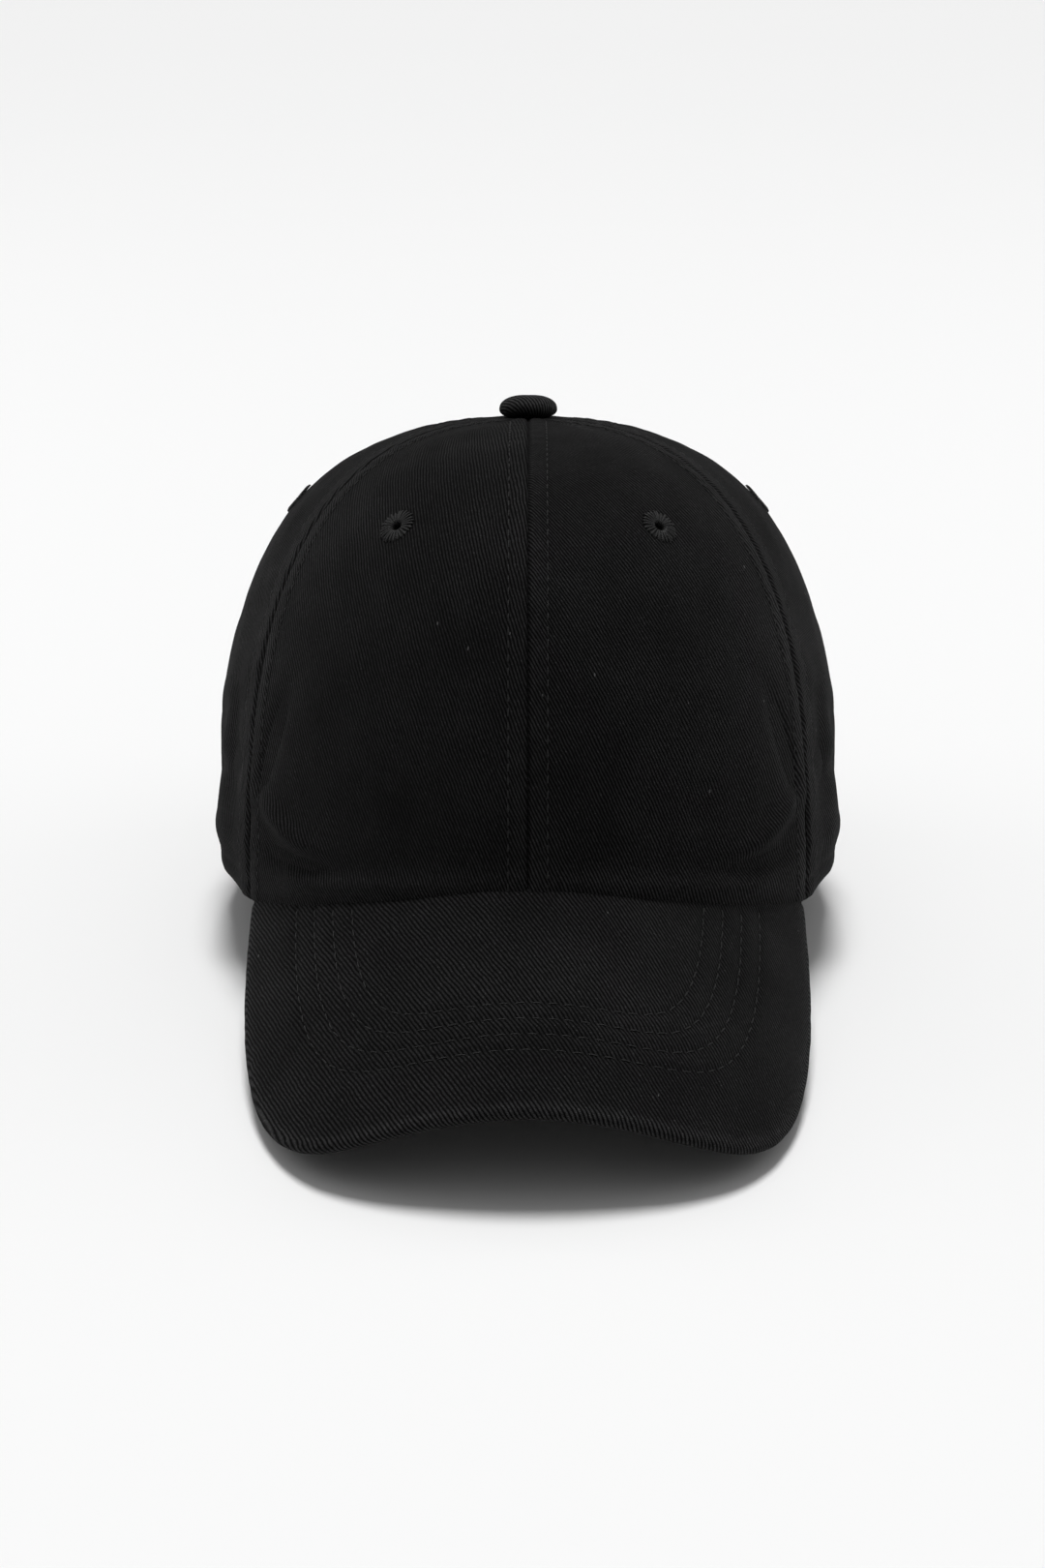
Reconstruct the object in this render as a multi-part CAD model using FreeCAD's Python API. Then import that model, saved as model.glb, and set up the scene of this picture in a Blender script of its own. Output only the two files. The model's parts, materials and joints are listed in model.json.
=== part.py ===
import FreeCAD, Part
import math
import os

# Six-panel baseball cap with a curved visor and a buckled back strap.
#
# The cap is drawn in its worn frame: the base ring lies at height zero, the crown's axis is vertical,
# the visor points along -Y and the wearer's left is +X. At the end every solid is tipped back and
# lowered to the way the cap stands on a table, on its two visor corners and its two back corners.
# All sizes are in millimetres.

Vector = FreeCAD.Vector

# Crown: an egg-shaped base ring, with a half circle at the back and a half ellipse at the front.
crown_half_width = 88.5
crown_axis_y = 12.6
crown_front_reach = 113.8
crown_height = 124.3
fullness_front = 3.16
fullness_side = 2.62
fullness_back = 2.57
seam_front = 58.0
seam_rear = 120.0
seam_gap = 0.12
crown_top_hole = 3.0

# Cloth layers of the crown, each as (outer face, inner face), measured inwards from the outside.
panel_layer = (0.0, 0.6)
buckram_layer = (0.7, 1.1)
facing_layer = (0.7, 1.1)
tape_layer = (1.2, 1.6)
foam_layer = (1.8, 3.6)
band_layer = (3.9, 4.5)
tape_half_width = 9.0
tape_half_sector = 28.7
tape_top_radius = 7.0
buckram_top_radius = 12.0
band_height = 32.0
band_lift = 0.8
foam_end = 100.0

# Opening at the back, and its facing.
arch_half_width = 36.0
arch_height = 44.0
arch_facing_width = 9.0

# Visor: an arched plate, whose generators slope down to the front.
visor_slope = math.radians(32.5)
visor_arch_radius = 95.0
visor_arch_power = 1.83
visor_seam_height = 13.3
visor_length = 71.7
visor_half_width = 75.2
visor_side_power = 6.44
visor_front_power = 2.21
visor_root = 30.3
visor_thickness = 3.6
cover_thickness = 0.7
cover_clearance = 0.05
board_inset = 1.6
rim_rest_angle = 72.0

# Button on top, and its rivet.
button_radius = 7.8
button_waist = 2.6
button_height = 6.1
button_cloth = 0.6
button_shell_wall = 0.5
rivet_radius = 1.4
washer_radius = 6.0
washer_thickness = 0.5

# Stitched eyelets.
eyelet_angles = {"front": 29.0, "side": 89.0, "rear": 150.0}
eyelet_level = 0.81
eyelet_hole_radius = 1.4
eyelet_ring_radius = 4.7
eyelet_ring_height = 0.5

# Strap and buckle, on a circle about the crown's axis. Angles run from the back towards the wearer's left.
strap_bottom = 5.0
strap_width = 18.0
strap_depth = (2.4, 3.2)
strap_ends = (-44.0, 42.0)
tab_depth = (1.65, 2.1)
tab_start = -35.0
buckle_angle = -11.0
buckle_half_length = 8.0
buckle_rail = 1.8
buckle_gap = 0.3
buckle_floor = (-1.9, -1.2)
buckle_rail_top = 3.1
bar_radius = 0.8
bar_place = (-7.0, 1.95)
pin_radius = 0.7
pin_clearance = 0.05
pin_place = (6.3, 2.05)
lever_knuckle = 1.35
lever_plate = (2.0, 2.8)
lever_reach = 11.5
lever_cam = 1.5


# Crown surface.

def ring_reach(angle):
    """Vector from the crown's axis to the base ring at an angle, which is 0 at the front."""
    depth = crown_front_reach if math.cos(angle) > 0 else crown_half_width
    return crown_half_width * math.sin(angle), -depth * math.cos(angle)


def fullness(angle):
    """Exponent of the crown's profile at an angle: higher is boxier."""
    end = fullness_front if math.cos(angle) > 0 else fullness_back
    return fullness_side + (end - fullness_side) * math.cos(angle) ** 2


def visor_drop(x):
    """How far the visor's arch has dropped at a distance from its middle."""
    share = (abs(x) / visor_arch_radius) ** visor_arch_power
    return visor_arch_radius * (1 - (1 - share) ** (1 / visor_arch_power))


def visor_top_at(x, y):
    """Height of the visor's upper face over a point of the base plane."""
    front = crown_axis_y - crown_front_reach
    rise = math.tan(visor_slope) * (y - front)
    return visor_seam_height + rise - visor_drop(x) / math.cos(visor_slope)


def rim_height(angle):
    """Height of the crown's lower edge: it follows the visor at the front and is level elsewhere."""
    turn = abs(math.degrees(math.atan2(math.sin(angle), math.cos(angle))))
    if turn >= rim_rest_angle:
        return 0.0
    x, y = ring_reach(math.radians(min(turn, seam_front)))
    depth = visor_thickness / math.cos(visor_slope) * math.cos(math.pi / 2 * min(turn / seam_front, 1))
    height = visor_top_at(x, crown_axis_y + y) - depth
    if turn > seam_front:
        share = (turn - seam_front) / (rim_rest_angle - seam_front)
        height *= 0.5 + 0.5 * math.cos(math.pi * share)
    return height


def profile_point(angle, height, inset):
    """Point of the layer at an inset under the crown's surface point at a height."""
    dx, dy = ring_reach(angle)
    reach = math.hypot(dx, dy)
    n = fullness(angle)
    rise = max(height, 0.0) / crown_height
    radius = reach * (1 - rise ** n) ** (1 / n)
    normal_r = (radius / reach) ** (n - 1) / reach
    normal_z = rise ** (n - 1) / crown_height
    scale = inset / math.hypot(normal_r, normal_z)
    radius -= normal_r * scale
    return Vector(dx / reach * radius, crown_axis_y + dy / reach * radius, height - normal_z * scale)


def height_at_radius(angle, radius):
    """Height of the crown's surface at a distance from its axis."""
    n = fullness(angle)
    share = radius / math.hypot(*ring_reach(angle))
    return crown_height * (1 - share ** n) ** (1 / n)


def meridian_heights(angle, low, high, count=13):
    """Heights from low to high that cut the profile into lengths of about the same size."""
    fine = [low + (high - low) * math.sin(math.pi / 2 * i / 200) for i in range(201)]
    points = [profile_point(angle, z, 0) for z in fine]
    run = [0.0]
    for a, b in zip(points, points[1:]):
        run.append(run[-1] + (b - a).Length)
    heights = []
    k = 0
    for i in range(count):
        goal = run[-1] * i / (count - 1)
        while k < 199 and run[k + 1] < goal:
            k += 1
        share = (goal - run[k]) / (run[k + 1] - run[k])
        heights.append(fine[k] + (fine[k + 1] - fine[k]) * share)
    return heights


def spline(points):
    curve = Part.BSplineCurve()
    curve.interpolate(points)
    return curve.toShape()


def layer_solid(start, end, layer, low, high, stations, count=13):
    """Closed shell segment of one layer between two angles in degrees.

    low and high give its lower and upper edge as heights at an angle.
    """
    wires = []
    for i in range(stations):
        angle = math.radians(start + (end - start) * i / (stations - 1))
        heights = meridian_heights(angle, low(angle), high(angle), count)
        outer = [profile_point(angle, z, layer[0]) for z in heights]
        inner = [profile_point(angle, z, layer[1]) for z in heights]
        wires.append(Part.Wire([
            spline(outer),
            Part.makeLine(outer[-1], inner[-1]),
            spline(inner[::-1]),
            Part.makeLine(inner[0], outer[0]),
        ]))
    return Part.makeLoft(wires, True, False)


def top_of_panel(angle):
    return height_at_radius(angle, crown_top_hole)


# Crown parts.

def arch_prism(grow=0.0):
    """The half-moon cut out of the back, grown by a margin."""
    wide = arch_half_width + grow
    tall = arch_height + grow
    ellipse = Part.Ellipse(Vector(0, 0, 0), max(wide, tall), min(wide, tall)).toShape()
    face = Part.Face(Part.Wire([ellipse]))
    if tall > wide:
        face.rotate(Vector(0, 0, 0), Vector(0, 0, 1), 90)
    face.rotate(Vector(0, 0, 0), Vector(1, 0, 0), 90)
    face.translate(Vector(0, crown_axis_y + 40, 0))
    return face.extrude(Vector(0, 70, 0))


def crown_panel(start, end):
    return layer_solid(start + seam_gap, end - seam_gap, panel_layer, rim_height, top_of_panel, 8)


def buckram(start, end):
    """Stiffening cloth behind a front panel."""
    def low(angle):
        return rim_height(angle) + 3.0

    def high(angle):
        return height_at_radius(angle, buckram_top_radius)
    return layer_solid(start, end, buckram_layer, low, high, 7)


def seam_tape(angle):
    """Tape over the inside of one seam, of constant width until it meets its neighbours at the top."""
    def high(at):
        return height_at_radius(at, tape_top_radius)
    sheet = layer_solid(angle - tape_half_sector, angle + tape_half_sector, tape_layer, rim_height, high, 9)
    strip = Part.makeBox(2 * tape_half_width, 200, 400, Vector(-tape_half_width, -200, -200))
    dx, dy = ring_reach(math.radians(angle))
    strip.rotate(Vector(0, 0, 0), Vector(0, 0, 1), math.degrees(math.atan2(dx, -dy)))
    strip.translate(Vector(0, crown_axis_y, 0))
    return sheet.common(strip)


def arch_facing():
    """Facing tape round the inside of the back opening."""
    def high(angle):
        return arch_height + arch_facing_width + 12.0
    spread = 38.0
    sheet = layer_solid(180 - spread, 180 + spread, facing_layer, rim_height, high, 9, 9)
    return sheet.common(arch_prism(arch_facing_width)).cut(arch_prism(0.1))


def band(layer, end, low_lift, high_lift):
    """Band round the inside of the rim, open at the back."""
    def low(angle):
        return rim_height(angle) + low_lift

    def high(angle):
        return rim_height(angle) + high_lift
    return layer_solid(-end, end, layer, low, high, 41, 5)


# Eyelets and button.

def surface_frame(angle, height):
    """Point and outward normal of the crown's surface."""
    step = 0.05
    here = profile_point(angle, height, 0)
    up = profile_point(angle, height + step, 0) - here
    side = profile_point(angle + 0.001, height, 0) - here
    normal = side.cross(up).normalize()
    return here, normal


def eyelet_place(row):
    angle = math.radians(eyelet_angles[row])
    return surface_frame(angle, crown_height * eyelet_level)


def revolved(points, place=None):
    """Solid of revolution from (radius, height) points, on the Z axis or on a (point, normal)."""
    corners = [Vector(r, 0, z) for r, z in points]
    face = Part.Face(Part.makePolygon(corners + corners[:1]))
    solid = face.revolve(Vector(0, 0, 0), Vector(0, 0, 1), 360)
    return placed(solid, place)


def placed(solid, place):
    if place is not None:
        point, normal = place
        solid.Placement = FreeCAD.Placement(point, FreeCAD.Rotation(Vector(0, 0, 1), normal))
    return solid


def eyelet(row, depth):
    """Ring of buttonhole stitches, which holds the cloth from both sides."""
    hole = eyelet_hole_radius
    collar = hole + 0.4
    outer = eyelet_ring_radius
    inner = outer - 1.2
    back = -depth - 0.25
    outline = [
        (hole, back - 0.3), (inner, back - 0.3), (inner, back), (collar, back), (collar, 0.03),
        (outer, 0.03), (outer - 0.3, eyelet_ring_height * 0.8), (outer - 1.1, eyelet_ring_height),
        (hole + 0.3, eyelet_ring_height), (hole, eyelet_ring_height * 0.6),
    ]
    return revolved(outline, eyelet_place(row))


def eyelet_drill(row):
    radius = eyelet_hole_radius + 0.45
    return placed(Part.makeCylinder(radius, 12, Vector(0, 0, -6)), eyelet_place(row))


def dome(radius, waist, height, bottom):
    """Flattened round button body, with its axis on the crown's axis and its foot at bottom."""
    lower = Part.Arc(Vector(radius * 0.72, 0, 0), Vector(radius * 0.95, 0, waist * 0.4), Vector(radius, 0, waist))
    upper_mid = Vector(radius * math.cos(0.9), 0, waist + (height - waist) * math.sin(0.9))
    upper = spline([Vector(radius, 0, waist), upper_mid, Vector(0, 0, height)])
    wire = Part.Wire([
        Part.makeLine(Vector(0, 0, 0), Vector(radius * 0.72, 0, 0)),
        lower.toShape(),
        upper,
        Part.makeLine(Vector(0, 0, height), Vector(0, 0, 0)),
    ])
    solid = Part.Face(wire).revolve(Vector(0, 0, 0), Vector(0, 0, 1), 360)
    solid.translate(Vector(0, crown_axis_y, bottom))
    return solid


def button_bodies():
    """The button's outside, and the same shape shrunk to the inside of its cloth and of its shell."""
    foot = crown_height + 0.05
    bodies = []
    for inset in (0.0, button_cloth, button_cloth + button_shell_wall):
        bodies.append(dome(
            button_radius - inset, button_waist - inset * 0.6, button_height - 1.6 * inset, foot + inset * 0.6,
        ))
    return bodies


def crown_disc(radius, low, high):
    return Part.makeCylinder(radius, high - low, Vector(0, crown_axis_y, low))


# Visor.

def visor_axes():
    """Unit vectors of the visor: out along its generators, and up from its plane."""
    out = Vector(0, -math.cos(visor_slope), -math.sin(visor_slope))
    up = Vector(0, -math.sin(visor_slope), math.cos(visor_slope))
    return out, up


def visor_point(x, w, n):
    out, up = visor_axes()
    seam = Vector(0, crown_axis_y - crown_front_reach, visor_seam_height)
    return seam + Vector(x, 0, 0) + out * w + up * n


def arch_curve(half_width, depth):
    """Points across the visor's arch, at a depth under its upper face, square to the face."""
    points = []
    count = 18
    for i in range(-count, count + 1):
        x = half_width * i / count
        step = 0.01
        slope = (visor_drop(x + step) - visor_drop(x - step)) / (2 * step)
        length = math.hypot(1, slope)
        points.append((x - depth * slope / length, -visor_drop(x) - depth / length))
    return points


def visor_plate(top, bottom, inset):
    """Arched plate between two depths, with its outline drawn in by an inset."""
    half = visor_half_width - inset
    back, reach = -visor_root * 2.4, visor_length + visor_root
    upper = [visor_point(x, back, n) for x, n in arch_curve(half, top)]
    lower = [visor_point(x, back, n) for x, n in arch_curve(half, bottom)]
    wire = Part.Wire([
        spline(upper), Part.makeLine(upper[-1], lower[-1]),
        spline(lower[::-1]), Part.makeLine(lower[0], upper[0]),
    ])
    out, up = visor_axes()
    plate = Part.Face(wire).extrude(out * (visor_length + visor_root * 3))
    edge = []
    steps = 24
    for i in range(-steps, steps + 1):
        turn = math.pi / 2 * i / steps
        x = (half + 0.5) * math.copysign(abs(math.sin(turn)) ** (2 / visor_side_power), turn)
        w = (reach - inset) * math.cos(turn) ** (2 / visor_front_power) - visor_root
        edge.append(visor_point(x, w, -80))
    tail_left = visor_point(-half - 12, -visor_root, -80)
    tail_right = visor_point(half + 12, -visor_root, -80)
    back_left = visor_point(-half - 12, back - 5, -80)
    back_right = visor_point(half + 12, back - 5, -80)
    outline = Part.Wire([
        spline(edge), Part.makeLine(edge[-1], tail_right), Part.makeLine(tail_right, back_right),
        Part.makeLine(back_right, back_left), Part.makeLine(back_left, tail_left),
        Part.makeLine(tail_left, edge[0]),
    ])
    keep = Part.Face(outline).extrude(up * 110)
    return plate.common(keep).cut(crown_core())


def crown_core():
    """Upright body that fills the crown's base ring, to trim the visor's root."""
    clear = 0.1
    points = []
    for i in range(25):
        angle = math.radians(-90 + 180 * i / 24)
        dx, dy = ring_reach(angle)
        points.append(Vector(dx * (1 + clear / crown_half_width), crown_axis_y + dy * (1 + clear / crown_half_width), 0))
    back = [Vector(points[-1].x, 150, 0), Vector(points[0].x, 150, 0)]
    wire = Part.Wire([
        spline(points), Part.makeLine(points[-1], back[0]), Part.makeLine(back[0], back[1]),
        Part.makeLine(back[1], points[0]),
    ])
    core = Part.Face(wire).extrude(Vector(0, 0, 160))
    core.translate(Vector(0, 0, -80))
    return core


def visor_parts():
    """Stiff board between two cloth covers, which meet halfway down the edge."""
    middle = visor_thickness / 2
    board_top = cover_thickness + cover_clearance
    board_bottom = visor_thickness - board_top
    pocket = visor_plate(cover_thickness, visor_thickness - cover_thickness, board_inset - cover_clearance)
    return {
        "visor_top_cover": visor_plate(0.0, middle - cover_clearance, 0.0).cut(pocket),
        "visor_bottom_cover": visor_plate(middle + cover_clearance, visor_thickness, 0.0).cut(pocket),
        "visor_board": visor_plate(board_top, board_bottom, board_inset),
    }


# Strap and buckle.

def back_sector(depth, start, end, low, high):
    """Curved strip on the back circle, between two depths and two angles from the back."""
    outer = crown_half_width - depth[0]
    inner = crown_half_width - depth[1]
    centre = Vector(0, crown_axis_y, low)
    tube = Part.makeCylinder(outer, high - low, centre).cut(Part.makeCylinder(inner, high - low, centre))
    corners = [Vector(0, 0, low - 1)]
    steps = 6
    for i in range(steps + 1):
        angle = math.radians(start + (end - start) * i / steps)
        corners.append(Vector(150 * math.sin(angle), 150 * math.cos(angle), low - 1))
    wedge = Part.Face(Part.makePolygon(corners + corners[:1])).extrude(Vector(0, 0, high - low + 2))
    wedge.translate(Vector(0, crown_axis_y, 0))
    return tube.common(wedge)


def strap():
    """Long strap with a rounded free end."""
    top = strap_bottom + strap_width
    body = back_sector(strap_depth, strap_ends[0], strap_ends[1], strap_bottom, top)
    radius = strap_width / 2
    round_span = math.degrees(radius / crown_half_width)
    square = back_sector((0, 6), strap_ends[0] - 1, strap_ends[0] + round_span, strap_bottom - 1, top + 1)
    at = math.radians(strap_ends[0] + round_span)
    outward = Vector(math.sin(at), math.cos(at), 0)
    middle = Vector(0, crown_axis_y, strap_bottom + radius) + outward * (crown_half_width - 12)
    round_end = Part.makeCylinder(radius, 24, middle, outward)
    return body.cut(square.cut(round_end))


def in_buckle(solid):
    """Moves a solid from the buckle's own frame (X along the strap, Y outwards) to its place."""
    radius = crown_half_width - sum(strap_depth) / 2
    at = math.radians(buckle_angle)
    centre = Vector(radius * math.sin(at), crown_axis_y + radius * math.cos(at), 0)
    solid.rotate(Vector(0, 0, 0), Vector(0, 0, 1), -buckle_angle)
    solid.translate(centre)
    return solid


def buckle_box(x, y, z):
    return Part.makeBox(x[1] - x[0], y[1] - y[0], z[1] - z[0], Vector(x[0], y[0], z[0]))


def buckle_rod(radius, place, low, high):
    return Part.makeCylinder(radius, high - low, Vector(place[0], place[1], low))


def buckle_heights():
    """Lower and upper inside faces of the buckle's rails."""
    return strap_bottom - buckle_gap, strap_bottom + strap_width + buckle_gap


def buckle_frame():
    low, high = buckle_heights()
    span = (-buckle_half_length, buckle_half_length)
    side = (buckle_floor[0], buckle_rail_top)
    frame = buckle_box((span[0] + 3, span[1]), buckle_floor, (low - buckle_rail, high + buckle_rail))
    for rail in ((low - buckle_rail, low), (high, high + buckle_rail)):
        block = buckle_box(span, side, rail)
        upright = [e for e in block.Edges if abs(e.tangentAt(e.FirstParameter).z) > 0.9]
        frame = frame.fuse(block.makeFillet(1.2, upright))
    frame = frame.fuse(buckle_rod(bar_radius, bar_place, low - 0.5, high + 0.5))
    frame = frame.cut(buckle_rod(pin_radius, pin_place, low - 5, high + 5))
    return in_buckle(frame.removeSplitter())


def buckle_pin():
    low, high = buckle_heights()
    return in_buckle(buckle_rod(pin_radius, pin_place, low - buckle_rail, high + buckle_rail))


def buckle_lever():
    """Clamp lever: a knuckle on the pin, a plate over the strap and a cam that bites it."""
    low, high = buckle_heights()
    low += 0.3
    high -= 0.3
    x, y = pin_place
    plate = buckle_box((x - lever_reach, x), lever_plate, (low, high))
    tip = [e for e in plate.Edges if e.CenterOfMass.x < x - lever_reach + 0.01 and abs(e.tangentAt(e.FirstParameter).y) > 0.9]
    plate = plate.makeFillet(4.0, tip)
    cam = buckle_box((x - 1.2, x + 0.5), (y - lever_cam, y), (low, high))
    lever = plate.fuse(cam).fuse(buckle_rod(lever_knuckle, pin_place, low, high))
    thumb = buckle_rod(2.4, (x - lever_reach + 0.9, lever_plate[1] + 2.05), low + 3, high - 3)
    lever = lever.cut(thumb)
    lever = lever.cut(buckle_rod(pin_radius + pin_clearance, pin_place, low - 1, high + 1))
    return in_buckle(lever.removeSplitter())


def strap_tab():
    """Short strap sewn inside the rim, looped round the buckle's bar."""
    low, high = buckle_heights()
    low += 0.5
    high -= 0.5
    radius = crown_half_width - sum(strap_depth) / 2
    bar_angle = buckle_angle + math.degrees(bar_place[0] / radius)
    tail = back_sector(tab_depth, tab_start, bar_angle, low, high)
    thickness = tab_depth[1] - tab_depth[0]
    hole = bar_radius + 0.05
    loop = in_buckle(buckle_rod(hole + thickness, bar_place, low, high))
    drill = in_buckle(buckle_rod(hole, bar_place, low - 1, high + 1))
    return tail.fuse(loop).cut(drill).removeSplitter()


# The whole cap.

def build():
    """Every named solid in the worn frame."""
    parts = {}
    sides = {"left": 1, "right": -1}
    rows = {"front": (0.0, seam_front), "side": (seam_front, seam_rear), "rear": (seam_rear, 180.0)}
    arch = arch_prism()
    for row, (start, end) in rows.items():
        panel = crown_panel(start, end).cut(eyelet_drill(row))
        depth = panel_layer[1]
        if row == "rear":
            panel = panel.cut(arch)
        if row == "front":
            lining = buckram(start + 0.4, end - 0.4).cut(eyelet_drill(row))
            depth = buckram_layer[1]
        for side, sign in sides.items():
            parts[row + "_panel_" + side] = mirrored(panel, sign)
            parts["eyelet_" + row + "_" + side] = mirrored(eyelet(row, depth), sign)
            if row == "front":
                parts["front_buckram_" + side] = mirrored(lining, sign)

    for name, angle in (("front", seam_front), ("rear", seam_rear)):
        tape = seam_tape(angle)
        for side, sign in sides.items():
            parts["seam_tape_" + name + "_" + side] = mirrored(tape, sign)
    parts["seam_tape_front_centre"] = seam_tape(0.0)
    parts["seam_tape_back_centre"] = seam_tape(180.0).cut(arch_prism(arch_facing_width + 0.5))

    band_end = 180 - math.degrees(math.asin(arch_half_width / crown_half_width)) - 0.5
    parts["sweatband"] = band(band_layer, band_end, band_lift, band_height)
    parts["sweatband_foam"] = band(foam_layer, foam_end, band_lift + 2.0, band_height - 2.0)
    parts["arch_facing"] = arch_facing()

    outside, shell_outside, core_outside = button_bodies()
    shank_foot = crown_height - tape_layer[1] - 1.0
    shank = crown_disc(rivet_radius, shank_foot - 1.5, crown_height + button_height * 0.45)
    parts["button_cover"] = outside.cut(shell_outside).cut(shank)
    parts["button_shell"] = shell_outside.cut(core_outside).cut(shank)
    parts["button_core"] = core_outside.cut(shank)
    parts["button_rivet"] = shank.fuse(crown_disc(rivet_radius * 2, shank_foot - 1.5, shank_foot - 1.0))
    washer = crown_disc(washer_radius, shank_foot - 1.0, shank_foot - 1.0 + washer_thickness)
    parts["button_washer"] = washer.cut(shank)

    parts.update(visor_parts())
    parts["strap"] = strap()
    parts["strap_tab"] = strap_tab()
    parts["buckle_frame"] = buckle_frame()
    parts["buckle_lever"] = buckle_lever()
    parts["buckle_pin"] = buckle_pin()
    return parts


def mirrored(shape, sign):
    """Copy of a shape drawn at +X, or its mirror image at -X."""
    return shape.copy() if sign > 0 else shape.mirror(Vector(0, 0, 0), Vector(1, 0, 0))


def mesh_points(shape):
    return shape.tessellate(0.05)[0]


def tipped(point, tilt):
    """A worn-frame point after the cap leans back by an angle in radians."""
    return Vector(
        point.x,
        point.y * math.cos(tilt) + point.z * math.sin(tilt),
        -point.y * math.sin(tilt) + point.z * math.cos(tilt),
    )


def rest_tilt(parts):
    """Angle at which the visor's corners and the back of the rim are level."""
    front = mesh_points(parts["visor_bottom_cover"])
    back = mesh_points(parts["rear_panel_left"])
    low, high = 0.0, math.radians(30)
    for _ in range(40):
        tilt = (low + high) / 2
        gap = min(tipped(p, tilt).z for p in front) - min(tipped(p, tilt).z for p in back)
        low, high = (low, tilt) if gap > 0 else (tilt, high)
    return tilt


def rest_placement(parts):
    """Placement from the worn frame to the table: floor at zero, origin under the middle of the box."""
    tilt = rest_tilt(parts)
    edges = []
    for name in ("visor_bottom_cover", "visor_top_cover", "rear_panel_left", "side_panel_left"):
        edges += [tipped(p, tilt) for p in mesh_points(parts[name])]
    edges += [tipped(p, tilt) for p in mesh_points(parts["buckle_lever"]) + mesh_points(parts["buckle_frame"])]
    shift_y = -(min(p.y for p in edges) + max(p.y for p in edges)) / 2
    shift_z = -min(p.z for p in edges)
    rotation = FreeCAD.Rotation(Vector(1, 0, 0), -math.degrees(tilt))
    return FreeCAD.Placement(Vector(0, shift_y, shift_z), rotation)


def main():
    os.makedirs("parts", exist_ok=True)
    parts = build()
    placement = rest_placement(parts)
    print("tilt", round(math.degrees(rest_tilt(parts)), 4), "shift", [round(v, 4) for v in placement.Base])
    for name, shape in parts.items():
        resting = shape.copy()
        resting.transformShape(placement.toMatrix())
        solids = resting.Solids
        whole = solids[0] if len(solids) == 1 else Part.makeCompound(solids)
        bad = [s for s in solids if not s.isValid() or s.Volume <= 0]
        print(f"{name:26s} solids {len(solids)} volume {whole.Volume:9.1f}", "BAD" if bad or not solids else "")
        whole.exportStep("parts/" + name + ".step")


if __name__ == "__main__":
    main()
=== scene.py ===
import json
import math
import bpy
import numpy as np
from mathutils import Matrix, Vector


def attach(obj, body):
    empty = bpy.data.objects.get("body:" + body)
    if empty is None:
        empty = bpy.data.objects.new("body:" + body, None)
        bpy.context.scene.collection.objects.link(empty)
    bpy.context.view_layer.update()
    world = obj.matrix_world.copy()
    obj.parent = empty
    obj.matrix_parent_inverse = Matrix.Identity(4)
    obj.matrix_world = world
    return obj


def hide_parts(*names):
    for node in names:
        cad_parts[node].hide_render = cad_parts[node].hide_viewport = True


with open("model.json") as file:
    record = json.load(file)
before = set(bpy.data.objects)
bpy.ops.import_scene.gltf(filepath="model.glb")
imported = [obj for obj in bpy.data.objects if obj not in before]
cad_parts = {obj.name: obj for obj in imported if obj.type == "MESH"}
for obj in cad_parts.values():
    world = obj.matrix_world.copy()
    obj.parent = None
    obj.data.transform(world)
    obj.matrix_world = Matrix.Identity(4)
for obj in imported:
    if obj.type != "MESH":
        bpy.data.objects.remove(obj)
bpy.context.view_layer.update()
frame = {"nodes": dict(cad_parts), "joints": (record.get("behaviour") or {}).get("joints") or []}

# Sizes are in millimetres, in the cap's worn frame: the rim is level at height 0, the visor points along -Y
# and the wearer's left is +X. toTable() takes points to metres, tipped back the way the cap stands.

# Where the cap stands, from the strap's slide axis, which is the crown's own axis.

strapJoint = next(joint for joint in frame["joints"] if joint["name"] == "strap_slide")
tilt = math.atan2(strapJoint["axis"][1], strapJoint["axis"][2])

crown = {
    "halfWidth": 88.5,
    "axisY": 12.6,
    "frontReach": 113.8,
    "height": 124.3,
    "fullFront": 3.16,      # how boxy the profile is: 2 is round
    "fullSide": 2.62,
    "fullBack": 2.57,
    "seamFront": 58.0,      # degrees from the front
    "seamRear": 120.0,
    "rimRest": 72.0,        # where the rim has come down to level
    "topHole": 3.0,
    "slideHeight": 14.0,    # height of the strap's middle
}
visor = {
    "slope": math.radians(32.5),
    "archRadius": 95.0,
    "archPower": 1.83,
    "seamHeight": 13.3,
    "length": 71.7,
    "halfWidth": 75.2,
    "sidePower": 6.44,
    "frontPower": 2.21,
    "root": 30.3,
    "thick": 3.6,
}
arch = {"halfWidth": 36.0, "height": 44.0}


def tipPoints(points):
    points = np.asarray(points, float)
    c, s = math.cos(tilt), math.sin(tilt)
    return np.stack([points[..., 0], points[..., 1] * c + points[..., 2] * s,
                     points[..., 2] * c - points[..., 1] * s], -1)


tableShift = np.array(strapJoint["pos_m"]) * 1000 - tipPoints([0, crown["axisY"], crown["slideHeight"]])


def toTable(points):
    return (tipPoints(points) + tableShift) * 0.001


# The crown's surface.

def ringReach(angle):
    depth = np.where(np.cos(angle) > 0, crown["frontReach"], crown["halfWidth"])
    return crown["halfWidth"] * np.sin(angle), -depth * np.cos(angle)


def fullness(angle):
    end = np.where(np.cos(angle) > 0, crown["fullFront"], crown["fullBack"])
    return crown["fullSide"] + (end - crown["fullSide"]) * np.cos(angle) ** 2


def visorDrop(x):
    share = np.minimum(np.abs(x) / visor["archRadius"], 1) ** visor["archPower"]
    return visor["archRadius"] * (1 - (1 - share) ** (1 / visor["archPower"]))


def visorTopAt(x, y):
    front = crown["axisY"] - crown["frontReach"]
    rise = math.tan(visor["slope"]) * (y - front)
    return visor["seamHeight"] + rise - visorDrop(x) / math.cos(visor["slope"])


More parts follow.
